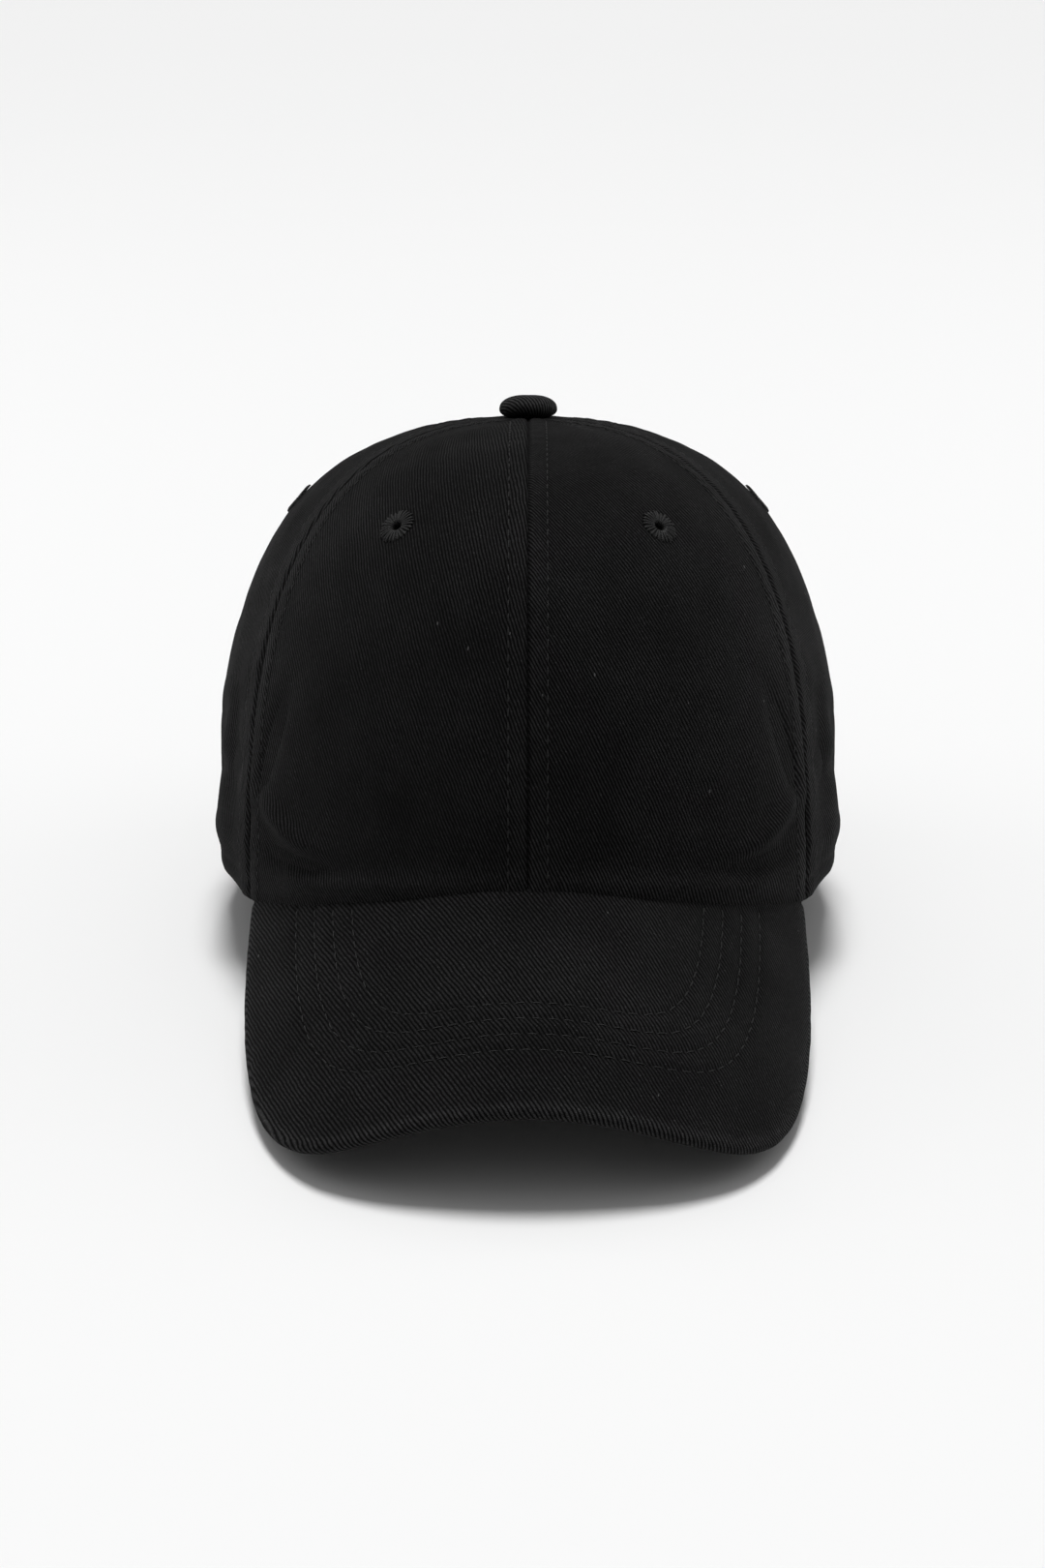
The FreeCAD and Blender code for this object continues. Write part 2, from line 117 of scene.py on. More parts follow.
def rimHeight(angle):
    turn = np.abs(np.degrees(np.arctan2(np.sin(angle), np.cos(angle))))
    held = np.radians(np.minimum(turn, crown["seamFront"]))
    x, y = ringReach(held)
    depth = visor["thick"] / math.cos(visor["slope"]) * np.cos(np.pi / 2 * np.minimum(turn / crown["seamFront"], 1))
    height = visorTopAt(x, crown["axisY"] + y) - depth
    share = np.clip((turn - crown["seamFront"]) / (crown["rimRest"] - crown["seamFront"]), 0, 1)
    return height * (0.5 + 0.5 * np.cos(np.pi * share))


def crownPoint(angle, height, inset):
    dx, dy = ringReach(angle)
    reach = np.hypot(dx, dy)
    n = fullness(angle)
    rise = np.clip(height / crown["height"], 0, 0.99999)
    radius = reach * (1 - rise ** n) ** (1 / n)
    normalR = (radius / reach) ** (n - 1) / reach
    normalZ = rise ** (n - 1) / crown["height"]
    scale = inset / np.hypot(normalR, normalZ)
    radius = radius - normalR * scale
    return np.stack([dx / reach * radius, crown["axisY"] + dy / reach * radius, height - normalZ * scale], -1)


def crownNormal(angle, height):
    a = crownPoint(angle, height, 0)
    e, h = 0.002, 0.1
    side = crownPoint(angle + e, height, 0) - a
    up = crownPoint(angle, height + h, 0) - a
    n = np.cross(side, up)
    return n / np.linalg.norm(n, axis=-1, keepdims=True)


def heightAtRadius(angle, radius):
    n = fullness(angle)
    share = radius / np.hypot(*ringReach(angle))
    return crown["height"] * (1 - share ** n) ** (1 / n)


def archHeight(angle):
    turn = np.pi - np.abs(angle)
    x = crown["halfWidth"] * np.sin(np.clip(turn, 0, np.pi / 2))
    return arch["height"] * np.sqrt(np.clip(1 - (x / arch["halfWidth"]) ** 2, 0, 1))


def runLength(points):
    step = np.linalg.norm(np.diff(points, axis=0), axis=-1)
    return np.concatenate([[0], np.cumsum(step)])


# Angles, heights and the distances from both ends for a grid over the crown.
def crownGrid(start, end, low, high, rows, columns, nearSeam=()):
    fine = np.linspace(start, end, 161)
    lowZ, highZ = low(fine), high(fine)
    wave = np.sin(np.pi / 2 * np.linspace(0, 1, 201))
    heights = np.empty((len(rows), len(fine)))
    for k, angle in enumerate(fine):
        z = lowZ[k] + (highZ[k] - lowZ[k]) * wave
        run = runLength(crownPoint(np.full_like(z, angle), z, 0))
        heights[:, k] = np.interp(np.asarray(rows) * run[-1], run, z)
    near = np.asarray(nearSeam, float)
    angles, tall, fromStart, fromEnd = [], [], [], []
    for row in heights:
        run = runLength(crownPoint(fine, row, 0))
        wide = run[-1]
        if len(near):
            squeeze = min(1, wide / 2 / (near[-1] * 1.25))
            edge = near * squeeze
            middle = np.linspace(edge[-1], wide - edge[-1], columns + 2)[1:-1]
            places = np.concatenate([edge, middle, wide - edge[::-1]])
        else:
            places = np.linspace(0, wide, columns)
        a = np.interp(places, run, fine)
        z = np.interp(a, fine, row)
        radius = np.hypot(crownPoint(a, z, 0)[:, 0], crownPoint(a, z, 0)[:, 1] - crown["axisY"])
        angles.append(a)
        tall.append(z)
        fromStart.append(np.abs(a - start) * radius)
        fromEnd.append(np.abs(end - a) * radius)
    return np.array(angles), np.array(tall), np.array(fromStart), np.array(fromEnd)


# Mesh helpers.

def newObject(name, data):
    made = bpy.data.objects.new(name, data)
    bpy.context.scene.collection.objects.link(made)
    return made


# Says which body a piece rides and which nodes it stands for.
def enter(piece, body, hides):
    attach(piece, body)
    if hides:
        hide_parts(*hides)
    return piece


# Points in worn millimetres; uv and masks hold one value for each point.
def makePiece(name, points, faces, material, body, hides=(), uv=None, masks=None, sharp=50):
    mesh = bpy.data.meshes.new(name)
    mesh.from_pydata(toTable(points).tolist(), [], [list(map(int, face)) for face in faces])
    mesh.validate()
    piece = newObject(name, mesh)
    corners = np.empty(len(mesh.loops), int)
    mesh.loops.foreach_get("vertex_index", corners)
    if uv is not None:
        layer = mesh.uv_layers.new(name="cloth")
        layer.data.foreach_set("uv", np.asarray(uv, float)[corners].ravel())
    for maskName, values in (masks or {}).items():
        mesh.attributes.new(maskName, "FLOAT", "POINT").data.foreach_set("value", np.asarray(values, float))
    mesh.materials.append(material)
    mesh.shade_smooth()
    mesh.set_sharp_from_angle(angle=math.radians(sharp))
    return enter(piece, body, hides)


# The same piece on the other side of the cap. Its cloth isn't mirrored, so a twill leans the same way on both.
def mirroredPiece(piece, name, body, hides=()):
    mesh = piece.data.copy()
    mesh.name = name
    points = np.empty(len(mesh.vertices) * 3)
    mesh.vertices.foreach_get("co", points)
    points[0::3] *= -1
    mesh.vertices.foreach_set("co", points)
    mesh.flip_normals()
    if "cloth" in mesh.uv_layers:
        layer = mesh.uv_layers["cloth"].data
        uv = np.empty(len(layer) * 2)
        layer.foreach_get("uv", uv)
        uv[0::2] *= -1
        layer.foreach_set("uv", uv)
    return enter(newObject(name, mesh), body, hides)


def gridFaces(rows, cols, first=0, flip=False, wrap=False):
    r = np.arange(rows - 1)[:, None]
    c = np.arange(cols if wrap else cols - 1)[None, :]
    n = (c + 1) % cols
    quads = np.stack([r * cols + c, r * cols + n, (r + 1) * cols + n, (r + 1) * cols + c], -1).reshape(-1,
        4) + first
    return quads[:, ::-1] if flip else quads


# Closed cloth with an outer and an inner face on the same grid. Outward is up the rows, then right.
def sheetPiece(name, outer, inner, material, body, hides=(), uv=None, masks=None, sharp=50):
    rows, cols = outer.shape[:2]
    count = rows * cols
    border = [(0, c) for c in range(cols)] + [(r, cols - 1) for r in range(1, rows)]
    border += [(rows - 1, c) for c in range(cols - 2, -1, -1)] + [(r, 0) for r in range(rows - 2, 0, -1)]
    ring = np.array([r * cols + c for r, c in border])
    after = np.roll(ring, -1)
    rim = np.stack([ring, ring + count, after + count, after], -1)
    faces = np.concatenate([gridFaces(rows, cols), gridFaces(rows, cols, count, flip=True), rim])
    points = np.concatenate([outer.reshape(-1, 3), inner.reshape(-1, 3)])
    if uv is not None:
        uv = np.concatenate([uv.reshape(-1, 2)] * 2)
    masks = {key: np.concatenate([np.ravel(value)] * 2) for key, value in (masks or {}).items()}
    return makePiece(name, points, faces, material, body, hides, uv, masks, sharp)


def smoothStep(value, low, high):
    t = np.clip((value - low) / (high - low), 0, 1)
    return t * t * (3 - 2 * t)


def bump(value, middle, width):
    return np.exp(-((value - middle) / width) ** 2)


# Smooth noise from about -1 to 1, with features of about size.
def softNoise(points, size, seed, octaves=3):
    random = np.random.default_rng(seed)
    total = np.zeros(points.shape[:-1])
    weight = 1.0
    for octave in range(octaves):
        for _ in range(7):
            direction = random.normal(size=points.shape[-1])
            direction /= np.linalg.norm(direction)
            turns = 2 ** octave / size * random.uniform(0.7, 1.4)
            total += weight * np.sin(points @ direction * turns * 2 * np.pi
                + random.uniform(0, 2 * np.pi)) / 4
        weight *= 0.5
    return total / 1.75


def resampled(points, normals, places):
    run = runLength(points)
    out = [np.stack([np.interp(places, run, data[:, k]) for k in range(3)], -1) for data in (points, normals)]
    return out[0], out[1] / np.linalg.norm(out[1], axis=-1, keepdims=True)


stitch = {
    "pitch": 3.4,
    "length": 2.55,
    "radius": 0.17,
    "bow": 0.12,
    "rings": 7,
    "sides": 6,
}


# Points and faces of one row of thread, laid on a line.
def stitchRow(points, normals, random, pitch=None, scale=1.0):
    pitch = pitch or stitch["pitch"]
    length, radius = stitch["length"] * pitch / stitch["pitch"], stitch["radius"] * scale
    run = runLength(points)[-1]
    places = np.arange(pitch * 0.6, run - pitch * 0.5, pitch)
    if not len(places):
        return np.zeros((0, 3)), np.zeros((0, 4), int)
    places = places + random.uniform(-0.06, 0.06, len(places)) * pitch
    centre, normal = resampled(points, normals, places)
    ahead, _ = resampled(points, normals, places + 0.5)
    behind, _ = resampled(points, normals, places - 0.5)
    along = ahead - behind
    along /= np.linalg.norm(along, axis=-1, keepdims=True)
    side = np.cross(normal, along)
    side /= np.linalg.norm(side, axis=-1, keepdims=True)
    lean = random.uniform(-0.10, 0.10, len(places))[:, None]
    along, side = along + side * lean, side - along * lean
    t = np.linspace(-1, 1, stitch["rings"])
    thin = np.maximum(1 - np.abs(t) ** 4, 0.05) ** 0.5 * radius
    rise = stitch["bow"] * scale * (1 - t ** 2 * 2.2)
    turn = np.linspace(0, 2 * np.pi, stitch["sides"], endpoint=False)
    local = np.stack([
        np.repeat(t * length / 2, len(turn)),
        (thin[:, None] * np.cos(turn)).ravel(),
        (rise[:, None] + thin[:, None] * np.sin(turn) * 0.8).ravel(),
    ], -1)
    cloud = centre[:, None] + along[:, None] * local[:, 0:1] + side[:, None] * local[:, 1:2] + normal[:,
        None] * local[:, 2:3]
    rings, sides = stitch["rings"], stitch["sides"]
    quads = gridFaces(rings, sides, wrap=True)
    caps = [list(range(sides))[::-1], [(rings - 1) * sides + k for k in range(sides)]]
    per = rings * sides
    starts = np.arange(len(places)) * per
    faces = (quads[None] + starts[:, None, None]).reshape(-1, 4).tolist()
    for start in starts:
        faces += [[start + k for k in cap] for cap in caps]
    return cloud.reshape(-1, 3), faces


def threadPiece(name, rows, body, seed, **settings):
    random = np.random.default_rng(seed)
    points, faces, count = [], [], 0
    for line, normals in rows:
        p, f = stitchRow(np.asarray(line), np.asarray(normals), random, **settings)
        if len(p):
            points.append(p)
            faces += [[k + count for k in face] for face in f]
            count += len(p)
    return makePiece(name, np.concatenate(points), faces, seamThread, body, sharp=80)


# Cloth and metal materials.

clothLook = {  # linear colours; pitches in millimetres
    "twill": {"color": 0.0080, "rib": 1.0, "lean": 60, "yarn": 0.42, "depth": 0.14, "sheen": 0.014,
    "shine": 0.06, "lint": 1.0},
    "visorTwill": {"color": 0.0082, "rib": 1.0, "lean": 60, "yarn": 0.42, "depth": 0.14, "sheen": 0.014,
    "shine": 0.06, "lint": 1.0},
    "tape": {"color": 0.0075, "rib": 0.55, "lean": 2, "yarn": 0.50, "depth": 0.10, "sheen": 0.04,
    "shine": 0.15, "lint": 0.3},
    "buckram": {"color": 0.015, "rib": 1.1, "lean": 1, "yarn": 1.1, "depth": 0.18, "sheen": 0.03,
    "shine": 0.20, "lint": 0.2},
    "sweatband": {"color": 0.0070, "rib": 0.6, "lean": 88, "yarn": 0.55, "depth": 0.10, "sheen": 0.04,
    "shine": 0.12, "lint": 0.4},
    "strapTwill": {"color": 0.0085, "rib": 0.9, "lean": 58, "yarn": 0.42, "depth": 0.13, "sheen": 0.02,
    "shine": 0.07, "lint": 0.6},
}


dye = {
    "tint": (1.0, 0.99, 1.01),
    "lint": 7,              # how much paler a speck of lint is
    "rough": 0.96,
    "ribRough": -0.12,
    "sheenRough": 0.45,
}


def mathNode(tree, operation, a, b=0.0, c=None, clamp=False):
    node = tree.nodes.new("ShaderNodeMath")
    node.operation = operation
    node.use_clamp = clamp
    for socket, value in zip(node.inputs, (a, b, c)):
        if isinstance(value, bpy.types.NodeSocket):
            tree.links.new(value, socket)
        elif value is not None:
            socket.default_value = value
    return node.outputs[0]


# The same for one tree.
def mathKit(tree):
    return lambda operation, *values, clamp=False: mathNode(tree, operation, *values, clamp=clamp)


def newGroup(name, takes, gives):
    tree = bpy.data.node_groups.new(name, "ShaderNodeTree")
    for label, kind, value in takes:
        socket = tree.interface.new_socket(name=label, in_out="INPUT", socket_type=kind)
        if value is not None:
            socket.default_value = value
    for label, kind in gives:
        tree.interface.new_socket(name=label, in_out="OUTPUT", socket_type=kind)
    return tree, tree.nodes.new("NodeGroupInput"), tree.nodes.new("NodeGroupOutput")


def noiseNode(tree, vector, scale, detail=2.0, roughness=0.5):
    node = tree.nodes.new("ShaderNodeTexNoise")
    node.inputs["Scale"].default_value = scale
    node.inputs["Detail"].default_value = detail
    node.inputs["Roughness"].default_value = roughness
    tree.links.new(vector, node.inputs["Vector"])
    return node.outputs["Fac"]


# Ribs of a twill, or the threads of a plain cloth, over cloth coordinates in millimetres. Its Shade darkens the
# colour in the grooves between ribs, which is painted shade of the relief, times a random slub tone.
def buildWeave():
    tree, given, out = newGroup(
        "weave",
        [("Cloth", "NodeSocketVector", None), ("Rib Pitch", "NodeSocketFloat", 1.0),
        ("Lean", "NodeSocketFloat", 60.0),
         ("Yarn Pitch", "NodeSocketFloat", 0.42)],
        [("Height", "NodeSocketFloat"), ("Shade", "NodeSocketFloat")],
    )
    do = mathKit(tree)
    wander = noiseNode(tree, given.outputs["Cloth"], 0.16, 2.0)
    fine = noiseNode(tree, given.outputs["Cloth"], 1.3, 2.0)
    angle = do("RADIANS", given.outputs["Lean"])
    split = tree.nodes.new("ShaderNodeSeparateXYZ")
    tree.links.new(given.outputs["Cloth"], split.inputs[0])
    x, y = split.outputs[0], split.outputs[1]
    c, s = do("COSINE", angle), do("SINE", angle)
    across = do("ADD", do("MULTIPLY", x, s), do("MULTIPLY", y, c))
    along = do("SUBTRACT", do("MULTIPLY", y, s), do("MULTIPLY", x, c))
    bent = do("ADD", do("MULTIPLY", wander, 0.9), do("MULTIPLY", fine, 0.28))
    turns = do("DIVIDE", do("ADD", across, bent), given.outputs["Rib Pitch"])
    rib = do("SINE", do("MULTIPLY", turns, 2 * math.pi))
    yarnTurns = do("ADD", do("DIVIDE", along, given.outputs["Yarn Pitch"]), do("MULTIPLY", turns, 0.5))
    yarn = do("SINE", do("MULTIPLY", yarnTurns, 2 * math.pi))
    ribUp = do("MULTIPLY_ADD", rib, 0.5, 0.5)
    yarnUp = do("MULTIPLY_ADD", yarn, 0.5, 0.5)
    height = do("ADD", do("MULTIPLY", ribUp, 0.7), do("MULTIPLY", do("MULTIPLY", ribUp, yarnUp), 0.3))
    slub = noiseNode(tree, given.outputs["Cloth"], 0.8, 3.0, 0.7)
    # painted shade: the colour follows the rib height and is darker in the grooves
    shade = do("MULTIPLY", do("MULTIPLY_ADD", height, 2.1, -0.06), do("MULTIPLY_ADD", slub, 2.0, 0.0))
    tree.links.new(height, out.inputs["Height"])
    tree.links.new(shade, out.inputs["Shade"])
    return tree


# Fading of washed black cloth: patches, paler raised edges, and a few specks of lint. The colour is also darkened
# in seam grooves, stitch rows and undersides as painted shade, and the wear mask carries a painted highlight on the
# button top and on the visor's rolled edge.
def buildAgeAndPaintedLight():
    tree, given, out = newGroup(
        "clothAgeAndPaintedLight",
        [("Cloth", "NodeSocketVector", None), ("Wear And Highlight", "NodeSocketFloat", 0.0),
        ("Painted Shade", "NodeSocketFloat", 0.0),
         ("Lint Amount", "NodeSocketFloat", 1.0)],
        [("Fade", "NodeSocketFloat"), ("Lint", "NodeSocketFloat")],
    )
    do = mathKit(tree)
    patch = noiseNode(tree, given.outputs["Cloth"], 0.035, 3.0, 0.6)
    grain = noiseNode(tree, given.outputs["Cloth"], 0.6, 3.0, 0.7)
    fadeAndPaintedLight = do("MULTIPLY_ADD", patch, 1.7, 0.15)
    wearAndHighlightOn = do("MULTIPLY", given.outputs["Wear And Highlight"], do("MULTIPLY_ADD", grain, 1.4, 0.3))
    flecks = noiseNode(tree, given.outputs["Cloth"], 1.9, 1.0, 0.5)
    fleckOn = do("MULTIPLY_ADD", flecks, 9.0, -5.6, clamp=True)
    fadeAndPaintedLight = do("ADD", fadeAndPaintedLight, do("MULTIPLY", fleckOn, 1.6))
    fadeAndPaintedLight = do("ADD", fadeAndPaintedLight, wearAndHighlightOn)
    # painted shade: darker where the groove mask lies, in seam valleys, stitch rows and undersides
    fadeAndPaintedLight = do("MULTIPLY", fadeAndPaintedLight, do("MULTIPLY_ADD", given.outputs["Painted Shade"], -0.75, 1.0))
    stretch = tree.nodes.new("ShaderNodeVectorMath")
    stretch.operation = "MULTIPLY"
    stretch.inputs[1].default_value = (0.16, 0.09, 0.16)
    tree.links.new(given.outputs["Cloth"], stretch.inputs[0])
    specks = tree.nodes.new("ShaderNodeTexVoronoi")
    specks.inputs["Scale"].default_value = 1.0
    tree.links.new(stretch.outputs[0], specks.inputs["Vector"])
    near = do("LESS_THAN", specks.outputs["Distance"], 0.045)
    pick = tree.nodes.new("ShaderNodeSeparateColor")
    tree.links.new(specks.outputs["Color"], pick.inputs[0])
    rare = do("LESS_THAN", pick.outputs[0], do("MULTIPLY", given.outputs["Lint Amount"], 0.28))
    tree.links.new(fadeAndPaintedLight, out.inputs["Fade"])
    tree.links.new(do("MULTIPLY", near, rare), out.inputs["Lint"])
    return tree


weaveGroup, ageAndLightGroup = buildWeave(), buildAgeAndPaintedLight()


def placeGroup(tree, group, values):
    node = tree.nodes.new("ShaderNodeGroup")
    node.node_tree = group
    for label, value in values.items():
        socket = node.inputs[label]
        if isinstance(value, bpy.types.NodeSocket):
            tree.links.new(value, socket)
        else:
            socket.default_value = value
    return node


def newMaterial(name):
    material = bpy.data.materials.new(name)
    material.use_nodes = True
    tree = material.node_tree
    return material, tree, tree.nodes["Principled BSDF"]


def attributeNode(tree, name):
    node = tree.nodes.new("ShaderNodeAttribute")
    node.attribute_name = name
    return node.outputs["Fac"]


def bumpNode(tree, height, distance, strength=1.0):
    node = tree.nodes.new("ShaderNodeBump")
    node.inputs["Strength"].default_value = strength
    node.inputs["Distance"].default_value = distance
    tree.links.new(height, node.inputs["Height"])
    return node.outputs["Normal"]


def colorNode(tree, channels):
    tint = tree.nodes.new("ShaderNodeCombineColor")
    for socket, value in zip(tint.inputs, channels):
        tree.links.new(value, socket)
    return tint.outputs[0]


def clothMaterial(name):
    look = clothLook[name]
    material, tree, shader = newMaterial(name)
    do = mathKit(tree)
    cloth = tree.nodes.new("ShaderNodeUVMap")
    cloth.uv_map = "cloth"
    weave = placeGroup(tree, weaveGroup, {
        "Cloth": cloth.outputs[0], "Rib Pitch": look["rib"], "Lean": float(look["lean"]),
        "Yarn Pitch": look["yarn"]})
    ageAndLight = placeGroup(tree, ageAndLightGroup, {
        "Cloth": cloth.outputs[0], "Wear And Highlight": attributeNode(tree, "wearAndHighlight"), "Painted Shade": attributeNode(tree, "deep"),
        "Lint Amount": look["lint"]})
    # the colour carries painted shade from the rib grooves and the groove mask, and on some pieces a painted
    # highlight from the wear mask
    shade = do("MULTIPLY", weave.outputs["Shade"], ageAndLight.outputs["Fade"])
    grey = do("MULTIPLY_ADD", shade, look["color"],
        do("MULTIPLY", ageAndLight.outputs["Lint"], look["color"] * dye["lint"]))
    tint = colorNode(tree, [do("MULTIPLY", grey, share) for share in dye["tint"]])
    tree.links.new(tint, shader.inputs["Base Color"])
    rough = do("MULTIPLY_ADD", weave.outputs["Height"], dye["ribRough"], dye["rough"])
    tree.links.new(rough, shader.inputs["Roughness"])
    tree.links.new(bumpNode(tree, weave.outputs["Height"], look["depth"] * 0.001), shader.inputs["Normal"])
    shader.inputs["Specular IOR Level"].default_value = look["shine"]
    shader.inputs["Sheen Weight"].default_value = look["sheen"]
    shader.inputs["Sheen Roughness"].default_value = dye["sheenRough"]
    return material


# Twisted thread, by object coordinates in metres. The twist bands that make the bump also darken the colour in
# their grooves: painted shade, over a random tone.
def threadMaterial(name, color, shine):
    material, tree, shader = newMaterial(name)
    do = mathKit(tree)
    place = tree.nodes.new("ShaderNodeTexCoord")
    twist = tree.nodes.new("ShaderNodeTexWave")
    twist.bands_direction = "DIAGONAL"
    twist.inputs["Scale"].default_value = 900.0
    twist.inputs["Distortion"].default_value = 2.0
    tree.links.new(place.outputs["Object"], twist.inputs["Vector"])
    tone = noiseNode(tree, place.outputs["Object"], 450.0, 3.0, 0.6)
    grey = do("MULTIPLY", do("MULTIPLY_ADD", twist.outputs["Fac"], 0.5, 0.6),
        do("MULTIPLY_ADD", tone, 1.2, 0.4))
    tree.links.new(colorNode(tree, [do("MULTIPLY", grey, color)] * 3), shader.inputs["Base Color"])
    tree.links.new(bumpNode(tree, twist.outputs["Fac"], 0.00006), shader.inputs["Normal"])
    shader.inputs["Roughness"].default_value = 0.6
    shader.inputs["Specular IOR Level"].default_value = shine
    return material


def metalMaterial(name, color, dark, rough, metallic=1.0):
    material, tree, shader = newMaterial(name)
    do = mathKit(tree)
    place = tree.nodes.new("ShaderNodeTexCoord")
    patches = noiseNode(tree, place.outputs["Object"], 260.0, 4.0, 0.65)
    fine = noiseNode(tree, place.outputs["Object"], 2200.0, 2.0, 0.6)
    mixed = tree.nodes.new("ShaderNodeMix")
    mixed.data_type = "RGBA"
    tree.links.new(do("MULTIPLY_ADD", patches, 2.2, -0.6, clamp=True), mixed.inputs["Factor"])
    mixed.inputs["A"].default_value = (*dark, 1)
    mixed.inputs["B"].default_value = (*color, 1)
    tree.links.new(mixed.outputs["Result"], shader.inputs["Base Color"])
    tree.links.new(do("MULTIPLY_ADD", patches, -0.25, rough + 0.15), shader.inputs["Roughness"])
    tree.links.new(bumpNode(tree, fine, 0.00003), shader.inputs["Normal"])
    shader.inputs["Metallic"].default_value = metallic
    return material


cloths = {name: clothMaterial(name) for name in clothLook}
seamThread = threadMaterial("seamThread", 0.013, 0.25)
eyeletThread = threadMaterial("eyeletThread", 0.017, 0.25)
antiqueBrass = metalMaterial("antiqueBrass", (0.42, 0.30, 0.15), (0.13, 0.085, 0.04), 0.38)
dullAluminium = metalMaterial("dullAluminium", (0.62, 0.62, 0.64), (0.38, 0.38, 0.40), 0.35)
whiteBoard = metalMaterial("whiteBoard", (0.62, 0.62, 0.58), (0.55, 0.55, 0.52), 0.5, metallic=0.0)
blackPlastic = metalMaterial("blackPlastic", (0.02, 0.02, 0.02), (0.014, 0.014, 0.014), 0.5, metallic=0.0)
print("stage: materials", len(bpy.data.materials))


# Crown panels.

panelLook = {
    "rows": 132,
    "nearSeam": [0, 0.35, 0.75, 1.2, 1.7, 2.4, 3.3, 4.3, 5.1, 5.7, 6.1, 6.5, 7.0, 7.7, 8.7, 10.2],
    "nearRim": [0, 0.4, 0.9, 1.5, 2.3, 3.2, 4.2, 4.9, 5.6, 6.3, 7.2, 8.4],
    "columns": 26,
    "seamGap": 0.05,        # degrees left open at a seam
    "wide": 85.0,           # a panel's mean width and height
    "tall": 165.0,
    "inner": 0.66,
    "seamDip": 0.42,
    "seamRise": 0.34,
    "stitchOffset": 6.3,
    "stitchDip": 0.17,
    "rimRoll": 2.2,
    "rimDepth": 1.1,
    "pucker": 0.24,
}
panels = {  # degrees round the crown; belly is how far the middle stands out, slack how much it ripples
    "front": {"start": 0.0, "end": 58.0, "belly": 0.3, "slack": 0.55, "creased": 0.10, "seed": 3},
    "side": {"start": 58.0, "end": 120.0, "belly": 1.3, "slack": 0.75, "creased": 0.85, "seed": 5},
    "rear": {"start": 120.0, "end": 180.0, "belly": 1.0, "slack": 0.60, "creased": 0.50, "seed": 8},
}
wrinkles = {  # shares across and up the panel, from and to, with half width and depth in millimetres
    "front": [
        {"a": (0.04, 0.030), "b": (0.92, 0.045), "width": 2.6, "depth": 1.1},
        {"a": (0.97, 0.170), "b": (0.66, 0.080), "width": 2.8, "depth": 2.2},
        {"a": (0.94, 0.090), "b": (0.52, 0.050), "width": 2.4, "depth": -1.8},
        {"a": (0.80, 0.330), "b": (0.97, 0.130), "width": 3.6, "depth": -1.6},
    ],
    "side": [
        {"a": (0.02, 0.21), "b": (0.46, 0.14), "width": 3.8, "depth": -1.5},
        {"a": (0.00, 0.09), "b": (0.50, 0.06), "width": 5.0, "depth": 1.3},
        {"a": (0.02, 0.35), "b": (0.42, 0.27), "width": 5.0, "depth": 1.1},
        {"a": (0.06, 0.44), "b": (0.30, 0.40), "width": 3.6, "depth": -0.8},
        {"a": (0.10, 0.02), "b": (0.16, 0.40), "width": 3.2, "depth": -0.9},
        {"a": (0.24, 0.00), "b": (0.20, 0.30), "width": 4.5, "depth": 0.9},
        {"a": (0.36, 0.03), "b": (0.44, 0.33), "width": 4.0, "depth": -0.8},
        {"a": (0.62, 0.05), "b": (0.52, 0.30), "width": 5.0, "depth": 0.7},
        {"a": (0.84, 0.10), "b": (0.72, 0.42), "width": 4.5, "depth": -0.7},
    ],
    "rear": [
        {"a": (0.18, 0.12), "b": (0.30, 0.45), "width": 4.5, "depth": -0.6},
        {"a": (0.42, 0.25), "b": (0.34, 0.60), "width": 5.5, "depth": 0.6},
    ],
}


def seamShape(distance):
    look = panelLook
    rise = look["seamRise"] * (smoothStep(distance, 0.2, 1.5) - 0.8 * smoothStep(distance, 5.5, 7.5)
        - 0.2 * smoothStep(distance, 6.8, 10.8))
    dip = -look["seamDip"] * np.exp(-(distance / 0.7) ** 1.5)
    return rise + dip - look["stitchDip"] * bump(distance, look["stitchOffset"], 0.75)


